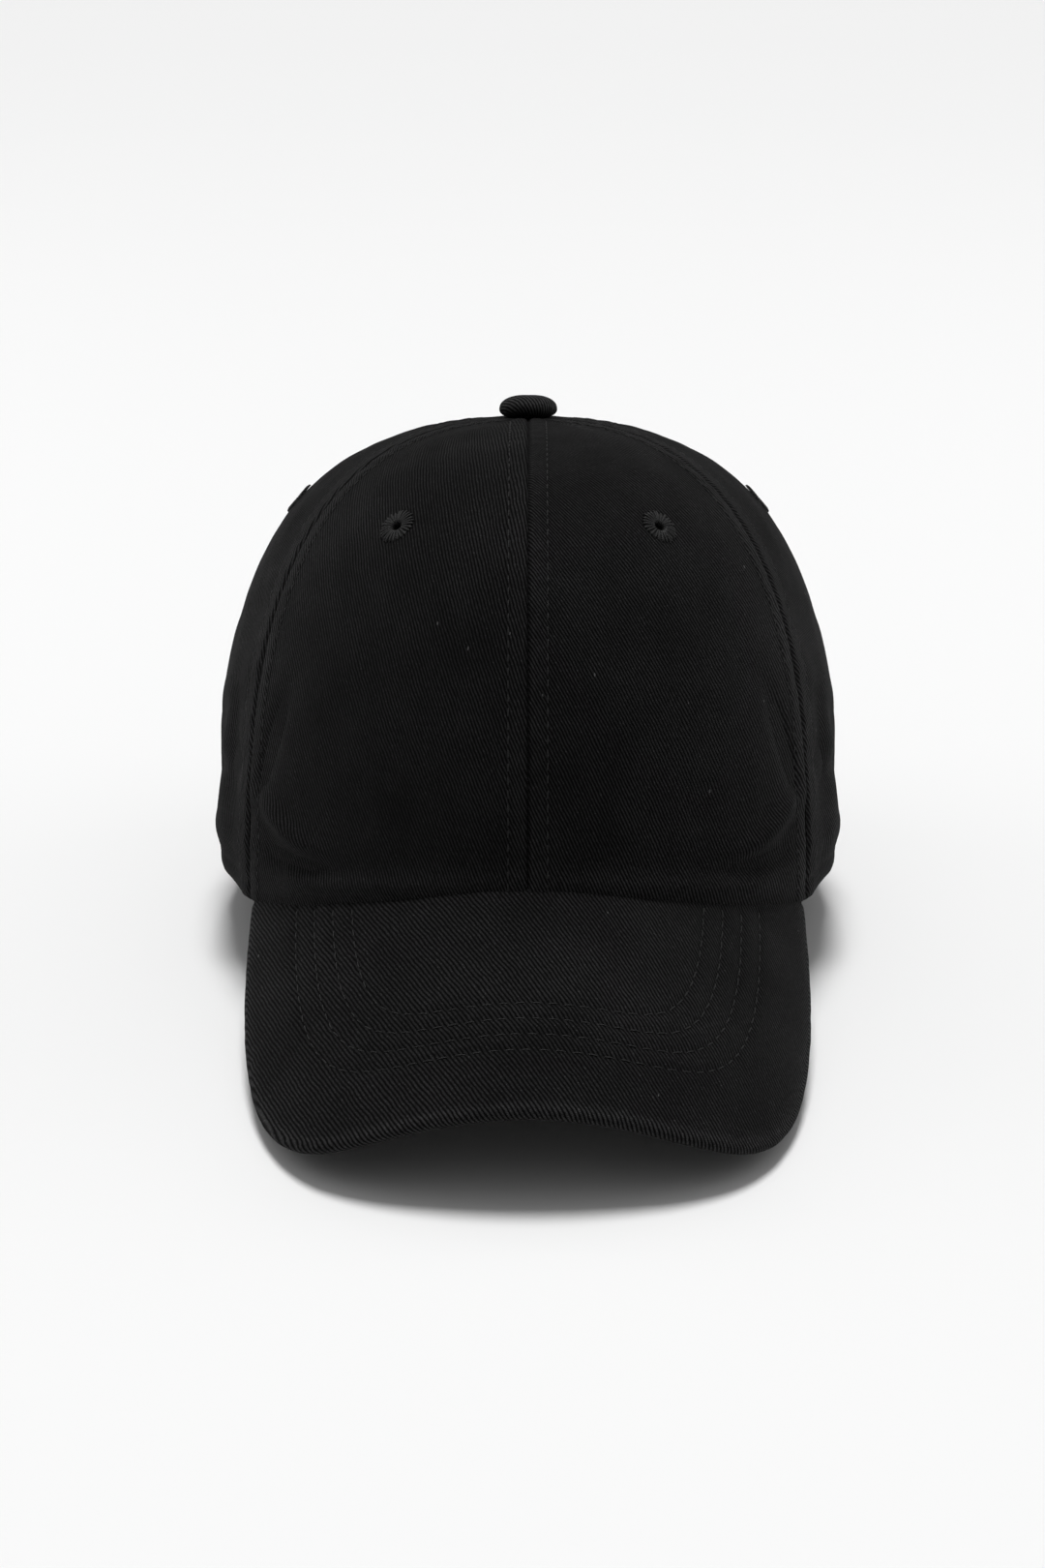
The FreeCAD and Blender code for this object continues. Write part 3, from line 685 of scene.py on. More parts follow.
# Height over the crown's plain surface, for points given by where they lie on a panel.
def panelRelief(row, share, up, upLength, fromStart, fromEnd, place, toArch=None):
    look, size = panelLook, panels[row]
    relief = np.where(fromEnd < fromStart, seamShape(fromEnd), seamShape(fromStart))
    nearest = np.minimum(fromStart, fromEnd)
    away = smoothStep(nearest, 4.0, 22.0)
    rise = smoothStep(upLength, 4.0, 30.0)
    relief = relief + size["belly"] * away * np.sin(np.pi * np.clip(up, 0, 1)) ** 0.7
    relief = relief + size["slack"] * softNoise(place, 34.0, size["seed"]) * away
    ripple = np.sin(upLength * 2 * np.pi / (2 * stitch["pitch"])) * 0.5 + softNoise(place, 5.5,
        size["seed"] + 20, 2)
    relief = relief + look["pucker"] * ripple * bump(nearest, 3.4, 2.4)
    for fold in wrinkles[row]:
        a, b = np.array(fold["a"]), np.array(fold["b"])
        along = b - a
        at = np.stack([share, up], -1) - a
        t = np.clip((at @ along) / (along @ along), 0, 1)
        off = at - t[..., None] * along
        distance = np.hypot(off[..., 0] * look["wide"], off[..., 1] * look["tall"])
        relief = relief + fold["depth"] * np.exp(-(distance / fold["width"]) ** 2) * np.sin(np.pi * np.clip(t,
            0.08, 0.92))
    if toArch is not None:
        edge = 0.35 * smoothStep(toArch, 0.0,
            1.4) * (1 - 0.8 * smoothStep(toArch, 5.4, 7.0)) - 0.3 * bump(toArch, 5.2, 0.8)
        relief = relief * smoothStep(toArch, 0.5, 8.0) + edge
        relief = relief - 0.8 * (1 - np.sqrt(np.clip(1 - (1 - np.clip(toArch / 1.2, 0, 1)) ** 2, 0, 1)))
    roll = 1 - np.clip(upLength / look["rimRoll"], 0, 1)
    relief = relief - look["rimDepth"] * (1 - np.sqrt(1 - roll ** 2 * 0.98))
    return relief - 0.30 * bump(upLength, 5.6, 1.0) * (1 if row != "front" else 0)


def archLine(grow=0.0, count=181):
    turn = np.linspace(0, np.pi, count)
    return np.stack([(arch["halfWidth"] + grow) * np.cos(turn), (arch["height"] + grow) * np.sin(turn)], -1)


def backAngle(x, height):
    angle = np.full_like(x, np.pi)
    for _ in range(4):
        radius = np.hypot(*np.moveaxis(crownPoint(angle, height, 0) - np.array([0, crown["axisY"], 0]), -1,
            0)[:2])
        angle = np.pi - np.arcsin(np.clip(x / radius, -1, 1))
    return angle


def distanceToLine(points, line):
    best = np.full(points.shape[:-1], 1e9)
    for a, b in zip(line[:-1], line[1:]):
        step = b - a
        t = np.clip(((points - a) @ step) / max(step @ step, 1e-12), 0, 1)
        gap = points - a - t[..., None] * step
        best = np.minimum(best, np.sqrt((gap ** 2).sum(-1)))
    return best


def archEdgePoints():
    line = archLine()[:91]
    return crownPoint(backAngle(line[:, 0], line[:, 1]), line[:, 1], 0)


def topOf(radius):
    return lambda angle: heightAtRadius(angle, np.full_like(angle, radius))


def panelLow(row):
    if row != "rear":
        return rimHeight
    return lambda angle: np.maximum(rimHeight(angle), archHeight(angle))


def archDistance(row, points):
    return distanceToLine(points, archEdgePoints()) if row == "rear" else None


def rowPlaces():
    edge = np.array(panelLook["nearRim"]) / panelLook["tall"]
    return np.concatenate([edge, np.linspace(edge[-1], 1, panelLook["rows"] - len(edge) + 1)[1:]])


eyelet = {
    "angles": {"front": 29.0, "side": 89.0, "rear": 150.0},
    "depths": {"front": 1.1, "side": 0.66, "rear": 0.66},   # of the cloth and what backs it
    "seed": 50,
    "level": 0.81,
    "hole": 1.4,
    "ring": 4.95,
    "drill": 1.9,           # radius, half length and sides of the tool that opens the cloth
    "drillReach": 5.0,
    "drillSides": 28,
    "lift": 0.08,
    "stitches": 26,
}


def eyeletPlace(row):
    angle = math.radians(eyelet["angles"][row])
    height = crown["height"] * eyelet["level"]
    return crownPoint(angle, height, 0), crownNormal(angle, height)


def drillHole(piece, row):
    place, normal = eyeletPlace(row)
    centre = Vector(toTable(place))
    tip = Vector(toTable(place + normal)) - centre
    count, reach = eyelet["drillSides"], eyelet["drillReach"]
    frameTurn = tip.to_track_quat("Z", "Y")
    points = []
    for end in (-reach, reach):
        for k in range(count):
            turn = 2 * math.pi * k / count
            local = Vector((eyelet["drill"] * math.cos(turn), eyelet["drill"] * math.sin(turn), end)) * 0.001
            points.append(centre + frameTurn @ local)
    faces = [[k, (k + 1) % count, count + (k + 1) % count, count + k] for k in range(count)]
    faces += [list(range(count))[::-1], list(range(count, 2 * count))]
    mesh = bpy.data.meshes.new("drill")
    mesh.from_pydata(points, [], faces)
    cutter = newObject("drill", mesh)
    modifier = piece.modifiers.new("hole", "BOOLEAN")
    modifier.object = cutter
    modifier.operation = "DIFFERENCE"
    modifier.solver = "EXACT"
    result = bpy.data.meshes.new_from_object(piece.evaluated_get(bpy.context.evaluated_depsgraph_get()))
    piece.modifiers.remove(modifier)
    piece.data = result
    bpy.data.objects.remove(cutter)
    bpy.data.meshes.remove(mesh)


# How far a panel's finished cloth stands over its plain surface at the eyelet.
eyeletRise = {}


def noteEyeletRise(row, outer):
    place, normal = eyeletPlace(row)
    away = outer - place
    along = away @ normal
    aside = np.linalg.norm(away - along[..., None] * normal, axis=-1)
    eyeletRise[row] = float(along[aside < eyelet["ring"] + 1.0].mean()) + eyelet["lift"]


def makePanel(row):
    size, look = panels[row], panelLook
    rows = rowPlaces()
    gap = look["seamGap"]
    angle, height, fromStart, fromEnd = crownGrid(
        math.radians(size["start"] + gap), math.radians(size["end"] - gap), panelLow(row),
        topOf(crown["topHole"]),
        rows, look["columns"], look["nearSeam"])
    plain = crownPoint(angle, height, 0)
    upLength = np.stack([runLength(plain[:, k]) for k in range(angle.shape[1])], 1)
    share = fromStart / (fromStart + fromEnd)
    up = np.broadcast_to(rows[:, None], share.shape)
    toArch = archDistance(row, plain)
    relief = panelRelief(row, share, up, upLength, fromStart, fromEnd, plain, toArch)
    normal = crownNormal(angle, height)
    outer = plain + normal * relief[..., None]
    noteEyeletRise(row, outer)
    inner = crownPoint(angle, height, look["inner"])
    rimIn = np.clip(1 - upLength / look["rimRoll"], 0, 1)[..., None]
    inner = inner - normal * 0.5 * rimIn ** 2
    nearest = np.minimum(fromStart, fromEnd)
    wearAndHighlight = 0.30 * bump(nearest, 1.3, 0.6) + 0.22 * bump(nearest, 3.4, 1.8) + 0.6 * bump(upLength, 0.8,
        1.0) * (row != "front")
    wearAndHighlight = wearAndHighlight + 0.45 * bump(upLength, 6.0, 4.0) * (row == "front") + 0.8 * smoothStep(relief, 0.9,
        2.6) * (row != "front")
    wearAndHighlight = wearAndHighlight + 0.55 * bump(fromEnd if row == "front" else fromStart, 3.0, 2.6) * (row != "rear")
    # painted shade in the seam valley and the stitch groove
    deep = 0.45 * bump(nearest, 0.0, 0.5) + 0.2 * bump(nearest, look["stitchOffset"], 0.5)
    creases = smoothStep(softNoise(plain * np.array([1, 1, 2.2]), 17.0, size["seed"] + 40, 3), 0.15, 0.75)
    wearAndHighlight = wearAndHighlight + size["creased"] * creases * (1 - smoothStep(upLength, 50.0, 120.0))
    if toArch is not None:
        wearAndHighlight = wearAndHighlight + 0.5 * bump(toArch, 0.9, 0.7)
    cloth = np.stack([(fromStart - fromEnd) / 2, upLength + height[0]], -1)
    uv = cloth + np.array([40.0 + size["seed"] * 300, size["seed"] * 200])
    node = row + "_panel_left"
    piece = sheetPiece(node + "_cloth", outer, inner, cloths["twill"], "crown", [node], uv,
        {"wearAndHighlight": wearAndHighlight, "deep": deep})
    drillHole(piece, row)
    mirroredPiece(piece, row + "_panel_right_cloth", "crown", [row + "_panel_right"])


for row in panels:
    makePanel(row)
    print("stage: panels", row)


# Topstitching of the crown.

crownStitching = {
    "offset": 6.3,
    "lift": 0.02,
    "fromTop": 0.955,   # shares up the panel where the rows end
    "fromRim": 0.012,
    "runStart": 3.0,    # how far up the panel its first stitch lies
    "archOffset": 5.2,
    "archLift": 0.12,
    "archLow": 1.5,
}


# Line at a distance from one seam of a panel, lying on the finished cloth.
def seamRow(row, atEnd, offset):
    size = panels[row]
    start, end = math.radians(size["start"]), math.radians(size["end"])
    rows = np.linspace(0, 1, 260)
    angle, height, fromStart, fromEnd = crownGrid(start, end, panelLow(row), topOf(crown["topHole"]), rows,
        61)
    picked = []
    for k in range(len(rows)):
        gaps = fromEnd[k] if atEnd else fromStart[k]
        order = np.argsort(gaps)
        a = np.interp(offset, gaps[order], angle[k][order])
        z = np.interp(a, angle[k], height[k])
        wide = fromStart[k].max()
        picked.append((a, z, min(offset, wide / 2), wide))
    a, z, near, wide = np.array(picked).T
    keep = (wide > offset * 2.1) & (rows < crownStitching["fromTop"]) & (rows > crownStitching["fromRim"])
    a, z, near, wide = a[keep], z[keep], near[keep], wide[keep]
    flat = crownPoint(a, z, 0)
    run = runLength(flat)
    share = near / wide if not atEnd else 1 - near / wide
    fromStart, fromEnd = (near, wide - near) if not atEnd else (wide - near, near)
    upLength = run + crownStitching["runStart"]
    relief = panelRelief(row, share, rows[keep], upLength, fromStart, fromEnd, flat, archDistance(row, flat))
    normal = crownNormal(a, z)
    return flat + normal * (relief + crownStitching["lift"])[:, None], normal


def archRow():
    line = archLine(crownStitching["archOffset"], 241)[:121]
    line = line[line[:, 1] > crownStitching["archLow"]]
    angle = backAngle(line[:, 0], line[:, 1])
    normal = crownNormal(angle, line[:, 1])
    return crownPoint(angle, line[:, 1], 0) + normal * crownStitching["archLift"], normal


def bothSides(lines):
    flip = np.array([-1, 1, 1])
    return list(lines) + [(points * flip, normals * flip) for points, normals in lines]


crownRows = [seamRow(row, atEnd, crownStitching["offset"]) for row in panels for atEnd in (False, True)]
threadPiece("crown_stitching", bothSides(crownRows + [archRow()]), "crown", seed=11)
print("stage: crown stitching")


# Visor.

visorLook = {
    "across": 230,
    "along": 96,
    "rollSteps": 9,
    "cloth": 0.62,
    "rows": 4,
    "firstLength": 19.3,    # outermost row of stitches, from the edge
    "firstSide": 14.8,
    "rowStep": 4.95,
    "pitch": 4.0,
    "stitchTail": 60.0,     # how far the rows run on towards the crown, and where they stop short of it
    "stitchTurn": 70.0,
    "stitchClear": 1.0,
    "threadDepth": 0.16,
    "groove": 0.20,
    "puff": 0.10,
    "boardInset": 2.8,
    "boardDepth": 0.76,
    "boardTurn": 1.5,       # degrees the board stops short of the temples
    "boardTuck": 0.4,
    "seamTuck": 1.2,
    "roll": 176.0,          # degrees of the cloth's turn round the edge, and how pale it is on the way: edge wear, with a painted highlight on the upper side of the roll
    "rollWearAndHighlight": [1, 1, 1, 0.9, 0.6, 0.4, 0.2, 0.1],
    "lowEdge": 0.55,
    "templeTrim": 34.0,
    "templeAngle": 57.4,
}


# Points of the visor from its own flat coordinates: x across, w out from the crown, depth under its upper face.
def visorPoint(x, w, depth):
    step = 0.01
    slope = (visorDrop(x + step) - visorDrop(x - step)) / (2 * step)
    length = np.hypot(1, slope)
    across, n = x - depth * slope / length, -visorDrop(x) - depth / length
    c, s = math.cos(visor["slope"]), math.sin(visor["slope"])
    y = crown["axisY"] - crown["frontReach"] - w * c - n * s
    return np.stack([across, y, visor["seamHeight"] - w * s + n * c], -1)


def evenly(line, count):
    run = runLength(line)
    places = np.linspace(0, run[-1], count)
    return np.stack([np.interp(places, run, line[:, k]) for k in range(line.shape[1])], -1)


def visorOutline(inSide=0.0, inFront=0.0, tail=34.0):
    turn = np.linspace(-np.pi / 2, np.pi / 2, 1200)
    half, reach = visor["halfWidth"] - inSide, visor["length"] - inFront
    x = half * np.sign(turn) * np.abs(np.sin(turn)) ** (2 / visor["sidePower"])
    w = (reach + visor["root"]) * np.cos(turn) ** (2 / visor["frontPower"]) - visor["root"]
    ends = np.array([[-half, -tail]]), np.array([[half, -tail]])
    return np.concatenate([ends[0], np.stack([x, w], -1), ends[1]])


# Where the visor meets the crown, in the visor's flat coordinates.
def visorSeam(turnDegrees, inset=0.0, count=400):
    angle = np.radians(np.linspace(-turnDegrees, turnDegrees, count))
    dx, dy = ringReach(angle)
    share = 1 - inset / crown["frontReach"]
    x, y = dx * share, crown["axisY"] + dy * share
    c, s = math.cos(visor["slope"]), math.sin(visor["slope"])
    front = crown["axisY"] - crown["frontReach"]
    return np.stack([x, (front - y + visorDrop(x) * s) / c], -1)


def visorStitchLines():
    lines = []
    for k in range(visorLook["rows"]):
        step = k * visorLook["rowStep"]
        line = visorOutline(visorLook["firstSide"] + step, visorLook["firstLength"] + step,
                            tail=visorLook["stitchTail"])
        seam = visorSeam(visorLook["stitchTurn"])
        clear = line[:, 1] > np.interp(line[:, 0], seam[:, 0], seam[:, 1]) + visorLook["stitchClear"]
        lines.append(evenly(line[clear], 420))
    return lines


visorLines = visorStitchLines()


def arcAcross(x):
    fine = np.linspace(0, visor["halfWidth"] + 2, 400)
    run = runLength(np.stack([fine, visorDrop(fine)], -1))
    return np.sign(x) * np.interp(np.abs(x), fine, run)


def grooveDepth(flat):
    toRow = np.min([distanceToLine(flat, line[::4]) for line in visorLines], axis=0)
    return toRow, -visorLook["groove"] * np.exp(-(toRow / 0.75) ** 2) + visorLook["puff"] * smoothStep(toRow,
        0.6, 2.2)


def outlineInwards(line):
    along = np.gradient(line, axis=0)
    inwards = np.stack([along[:, 1], -along[:, 0]], -1)
    return inwards / np.linalg.norm(inwards, axis=-1, keepdims=True)


def inSpace(flat):
    return np.concatenate([flat, np.zeros(flat.shape[:-1] + (1,))], -1)


def makeVisorCovers():
    look = visorLook
    half = visor["thick"] / 2
    outline = evenly(visorOutline(tail=look["templeTrim"]), look["across"])
    inwards = outlineInwards(outline)
    seam = evenly(visorSeam(look["templeAngle"], inset=look["seamTuck"]), look["across"])
    edge = outline + inwards * half
    out = np.linspace(0, 1, look["along"])[:, None, None]
    flat = seam[None] * (1 - out) + edge[None] * out
    toRow, groove = grooveDepth(flat)
    ripple = softNoise(inSpace(flat), 30.0, 31) * 0.16
    relief = groove + ripple * smoothStep(distanceToLine(flat, outline[::3]), 2, 10)
    pucker = softNoise(inSpace(flat), 4.6, 33, 2) * 0.07 * bump(toRow, 1.7, 1.6)
    relief = relief + pucker
    top = visorPoint(flat[..., 0], flat[..., 1], -relief)
    topIn = visorPoint(flat[..., 0], flat[..., 1], np.full(flat.shape[:2], look["cloth"]))
    turns = np.linspace(0, math.radians(look["roll"]), look["rollSteps"])[1:]
    rolls, rollsIn = [], []
    lay = 0.10 * softNoise(inSpace(edge), 9.0, 35, 2)
    for turn in turns:
        for store, radius in ((rolls, half + lay), (rollsIn, np.full(len(edge), half - look["cloth"]))):
            place = edge - inwards * (radius * math.sin(turn))[:, None]
            store.append(visorPoint(place[:, 0], place[:, 1], half - radius * math.cos(turn)))
    outer = np.concatenate([top, np.array(rolls)])[::-1]
    inner = np.concatenate([topIn, np.array(rollsIn)])[::-1]
    rollRun = half * turns
    v = np.concatenate([flat[..., 1], edge[None, :, 1] + rollRun[:, None] * -np.sign(inwards[None, :, 1])])[::
        -1]
    u = np.concatenate([arcAcross(flat[..., 0]),
        np.broadcast_to(arcAcross(edge[:, 0]), (len(turns), len(edge)))])[::-1]
    # paler near the edge and round the top of the roll, fading towards its underside: edge wear plus a painted
    # highlight where the light falls
    edgeness = np.concatenate([bump(distanceToLine(flat, outline[::3]), 1.6, 1.5), np.broadcast_to(
        np.array(look["rollWearAndHighlight"])[:, None], (len(turns), len(edge)))])[::-1]
    # painted shade in the grooves of the stitch rows
    rowShade = np.concatenate([bump(toRow, 0, 0.6), np.zeros((len(turns), len(edge)))])[::-1]
    sheetPiece("visor_top_cloth", outer, inner, cloths["visorTwill"], "crown",
        ["visor_top_cover"],
               np.stack([u, -v], -1) + 900, {"wearAndHighlight": edgeness * 0.9, "deep": rowShade * 0.25})

    low = outline + inwards * (half * look["lowEdge"])
    flat = seam[None] * (1 - out) + low[None] * out
    toRow, groove = grooveDepth(flat)
    toEdge = distanceToLine(flat, low[::3])
    tuck = 0.9 * (1 - smoothStep(toEdge, 0.0, 1.6))
    thick = visor["thick"]
    bottom = visorPoint(flat[..., 0], flat[..., 1], thick + groove * 0.8 - tuck + 0.12 * softNoise(
        inSpace(flat), 26.0, 37) * smoothStep(toEdge, 2, 10))
    bottomIn = visorPoint(flat[..., 0], flat[..., 1], thick - look["cloth"] - tuck * 0.8)
    cloth = np.stack([arcAcross(flat[..., 0]), flat[..., 1]], -1) + 1300
    # the bottom cover gets painted shade in its stitch grooves and in the tuck under the rolled edge; its edge is
    # paler from wear
    sheetPiece("visor_bottom_cloth", bottom, bottomIn, cloths["visorTwill"], "crown",
        ["visor_bottom_cover"],
               cloth, {"wearAndHighlight": bump(toEdge, 1.5, 1.2) * 0.6,
               "deep": bump(toRow, 0, 0.6) * 0.6 + bump(toEdge, 0, 0.7) * 0.7})


# The stiff board between the covers, drawn in a little from their rolled edge.
def makeVisorBoard():
    look = visorLook
    outline = evenly(visorOutline(tail=look["templeTrim"]), 140)
    edge = outline + outlineInwards(outline) * look["boardInset"]
    seam = evenly(visorSeam(look["templeAngle"] - look["boardTurn"], inset=look["boardTuck"]), 140)
    out = np.linspace(0, 1, 30)[:, None, None]
    flat = seam[None] * (1 - out) + edge[None] * out
    deep = np.full(flat.shape[:2], look["boardDepth"])
    top = visorPoint(flat[..., 0], flat[..., 1], deep)
    bottom = visorPoint(flat[..., 0], flat[..., 1], visor["thick"] - deep)
    sheetPiece("visor_board_plastic", top[::-1], bottom[::-1], whiteBoard, "crown",
        ["visor_board"])


def visorThreads():
    rows = []
    for line in visorLines:
        for depth, sign in ((visorLook["threadDepth"], 1), (visor["thick"] - visorLook["threadDepth"], -1)):
            points = visorPoint(line[:, 0], line[:, 1], np.full(len(line), depth))
            away = visorPoint(line[:, 0], line[:, 1], np.full(len(line), depth - sign))
            normal = away - points
            rows.append((points, normal / np.linalg.norm(normal, axis=-1, keepdims=True)))
    return rows


makeVisorCovers()
makeVisorBoard()
threadPiece("visor_stitching", visorThreads(), "crown", seed=12, pitch=visorLook["pitch"], scale=1.05)
print("stage: visor")


# Eyelets.

# A ring of buttonhole stitches round a hole, seen on both faces of the cloth.
def eyeletBuild(row, depth, seed):
    random = np.random.default_rng(seed)
    place, normal = eyeletPlace(row)
    side = np.cross([0, 0, 1], normal)
    side /= np.linalg.norm(side)
    up = np.cross(normal, side)
    points, faces = [], []

    def addTube(path, radius, count=7):
        start = sum(len(p) for p in points)
        along = np.gradient(path, axis=0)
        along /= np.linalg.norm(along, axis=-1, keepdims=True)
        cross = np.cross(along, np.array([-path[0][1], path[0][0], 0]) / np.hypot(*path[0][:2]))
        other = np.cross(along, cross)
        turn = np.linspace(0, 2 * np.pi, count, endpoint=False)
        ring = cross[:, None] * np.cos(turn)[None, :, None] + other[:, None] * np.sin(turn)[None, :, None]
        points.append((path[:, None] + ring * radius[:, None, None]).reshape(-1, 3))
        faces.extend((gridFaces(len(path), count, start, wrap=True)[:, ::-1]).tolist())
        faces.append([start + k for k in range(count)])
        faces.append([start + (len(path) - 1) * count + k for k in range(count)][::-1])

    for k in range(eyelet["stitches"]):
        turn = 2 * np.pi * (k + random.uniform(-0.16, 0.16)) / eyelet["stitches"]
        reach = eyelet["ring"] + random.uniform(-0.28, 0.18)
        hole = eyelet["hole"] + random.uniform(0.02, 0.16)
        r = np.array([reach + 0.1, reach - 0.1, reach - 0.9, reach - 1.9, hole + 0.55, hole + 0.12, hole,
            hole, hole + 0.12, hole + 0.6, reach - 1.6, reach - 1.2])
        back = -depth - 0.25
        z = np.array([-0.05, 0.26, 0.46, 0.50, 0.42, 0.20, -0.2, back + 0.2, back - 0.2, back - 0.35,
            back - 0.25, back + 0.05])
        z = np.where(z > -0.1, z + eyeletRise[row], z)
        path = np.stack([r * np.cos(turn), r * np.sin(turn), z], -1)
        thick = np.array([0.10, 0.24, 0.30, 0.28, 0.24, 0.20, 0.18, 0.18, 0.20, 0.24, 0.24, 0.10])
        addTube(path, thick)
    count = 40
    turn = np.linspace(0, 2 * np.pi, count, endpoint=False)
    base = [(eyelet["ring"] - 0.35, -0.1), (eyelet["ring"] - 0.6, 0.20), (3.0, 0.32),
        (eyelet["hole"] + 0.5, 0.24), (eyelet["hole"] + 0.18, -0.1),
            (eyelet["hole"] + 0.18, -depth - 0.2), (2.4, -depth - 0.34), (3.2, -depth - 0.2),
            (3.2, -depth - 0.02), (eyelet["hole"] + 0.42, -depth + 0.1),
            (eyelet["hole"] + 0.42, -0.12)]
    start = sum(len(p) for p in points)
    base = [(r, z + eyeletRise[row] if z > -0.2 else z) for r, z in base]
    rings = [np.stack([r * np.cos(turn), r * np.sin(turn), np.full(count, z)], -1) for r, z in base]
    points.append(np.concatenate(rings))
    faces.extend(gridFaces(len(base), count, start, wrap=True)[:, ::-1].tolist())
    last = start + (len(base) - 1) * count
    faces.extend([[last + k, last + (k + 1) % count, start + (k + 1) % count, start + k][::-1]
        for k in range(count)])
    local = np.concatenate(points)
    world = place + side * local[:, 0:1] + up * local[:, 1:2] + normal * local[:, 2:3]
    node = "eyelet_" + row + "_left"
    piece = makePiece(node + "_thread", world, faces, eyeletThread, "crown", [node], sharp=80)
    mirroredPiece(piece, "eyelet_" + row + "_right_thread", "crown", ["eyelet_" + row + "_right"])


for seed, row in enumerate(eyelet["depths"], eyelet["seed"]):
    eyeletBuild(row, eyelet["depths"][row], seed)
print("stage: eyelets")


# Button.

button = {
    "radius": 8.1,
    "height": 6.8,
    "waist": 2.7,
    "foot": 0.55,
    "rings": 40,
    "spokes": 96,
    "gathers": 17,
    "power": 2 / 2.35,
    "sink": 0.4,
}


# Radius and height, from the middle underneath, out round the edge, to the middle of the top.
def buttonProfile(t):
    low, high = button["waist"], button["height"]
    curve = np.abs(np.sin(t)) ** button["power"]
    return button["radius"] * np.cos(t) ** button["power"], np.where(t < 0, low * (1 - curve),
        low + (high - low) * curve)


def makeButton():
    t = np.linspace(-np.pi / 2, np.pi / 2, button["rings"])
    r, z = buttonProfile(t)
    run = runLength(np.stack([r, z], -1))
    turn = np.linspace(0, 2 * np.pi, button["spokes"], endpoint=False)
    under = smoothStep(-t, 0.15, 1.2)[:, None]
    side = np.exp(-((t + 0.15) / 0.5) ** 2)[:, None]
    fold = np.sin(turn * button["gathers"] + 0.9 * np.sin(3 * turn))[None, :]
    r = r[:, None] * (1 + 0.030 * fold * under + 0.008 * fold * side + 0.010 * np.sin(2 * turn + 1)[None, :])
    z = z[:, None] + 0.10 * np.sin(3 * turn + 0.4)[None, :] * np.cos(t)[:,
        None] - 0.12 * np.exp(-(r / 2.2) ** 2)
    points = np.stack([r * np.cos(turn), crown["axisY"] + r * np.sin(turn),
        crown["height"] + z - button["foot"] + button["sink"]], -1)
    points = points.reshape(-1, 3)
    rings, spokes = button["rings"], button["spokes"]
    faces = gridFaces(rings, spokes, wrap=True).tolist()
    faces += [list(range(spokes))[::-1], [(rings - 1) * spokes + k for k in range(spokes)]]
    out = run[-1] - run
    cloth = np.stack([out[:, None] * np.cos(turn), out[:, None] * np.sin(turn)], -1).reshape(-1, 2) + 700
    # painted highlight: the top of the button is paler, as if lit from above, and its gathered underside gets
    # painted shade
    wearAndHighlight = np.repeat(1.7 * smoothStep(t, -0.5, 0.4), spokes)
    makePiece("button_cloth", points, faces, cloths["twill"], "crown", ["button_cover"], cloth,
              {"wearAndHighlight": wearAndHighlight, "deep": np.repeat(smoothStep(-t, 0.2, 1.0) * 0.6, spokes)})


makeButton()
print("stage: button")


# Inside of the crown: buckram, tapes, facing, sweatband and its foam.

inside = {
    "buckram": {"layer": (0.74, 1.10), "lift": 3.0, "topRadius": 12.0, "start": 0.6, "end": 57.4},
    "tape": {"layer": (1.18, 1.62), "half": 9.0, "sector": 28.5, "topRadius": 7.2, "puff": 0.28, "rows": 90,
             "stitchStop": 22},
    "facing": {"layer": (0.74, 1.10), "wide": 9.0},
    "band": {"layer": (3.92, 4.46), "end": 155.3, "lift": 0.8, "height": 32.0, "puff": 0.5,
             "paddedTo": 104, "stitchedAt": (0.94, 0.07)},
    "foam": {"layer": (1.85, 3.55), "end": 99.6, "lift": 3.0, "height": 30.0},
}


def makeBuckram():
    look = inside["buckram"]
    angle, height, _, _ = crownGrid(
        math.radians(look["start"]), math.radians(look["end"]), lambda a: rimHeight(a) + look["lift"],
        topOf(look["topRadius"]), np.linspace(0, 1, 70), 40)
    plain = crownPoint(angle, height, 0)
    crinkle = 0.05 * softNoise(plain, 9.0, 61)
    outer = crownPoint(angle, height, look["layer"][0] + crinkle)
    inner = crownPoint(angle, height, look["layer"][1] + crinkle)
    cloth = np.stack([(angle - angle.mean()) * 75, height * 1.1], -1) + 200
    piece = sheetPiece("front_buckram_left_cloth", outer, inner, cloths["buckram"], "crown",
        ["front_buckram_left"], cloth)
    drillHole(piece, "front")
    mirroredPiece(piece, "front_buckram_right_cloth", "crown", ["front_buckram_right"])


# Spread of a strip over a seam: points at distances to both sides of it, from the rim or a height to the top.
def stripGrid(seamDegrees, low, high, across, rows):
    seam = math.radians(seamDegrees)
    z = low + (high - low) * np.sin(np.pi / 2 * np.linspace(0, 1, 201))
    run = runLength(crownPoint(np.full_like(z, seam), z, 0))
    z = np.interp(np.linspace(0, run[-1], rows), run, z)
    e = 0.002
    perAngle = np.linalg.norm(crownPoint(np.full_like(z, seam + e), z, 0)
        - crownPoint(np.full_like(z, seam - e), z, 0), axis=-1) / (2 * e)
    room = math.radians(inside["tape"]["sector"]) * perAngle
    half = np.minimum(inside["tape"]["half"], room)
    angle = seam + (across[None, :] * half[:, None]) / perAngle[:, None]
    rim = rimHeight(angle)
    height = np.maximum(np.broadcast_to(z[:, None], angle.shape), rim)
    height = np.where(z[:, None] <= low + 1e-6, np.maximum(rim, low), height)
    return angle, height, across[None, :] * half[:, None], np.linspace(0, run[-1], rows)


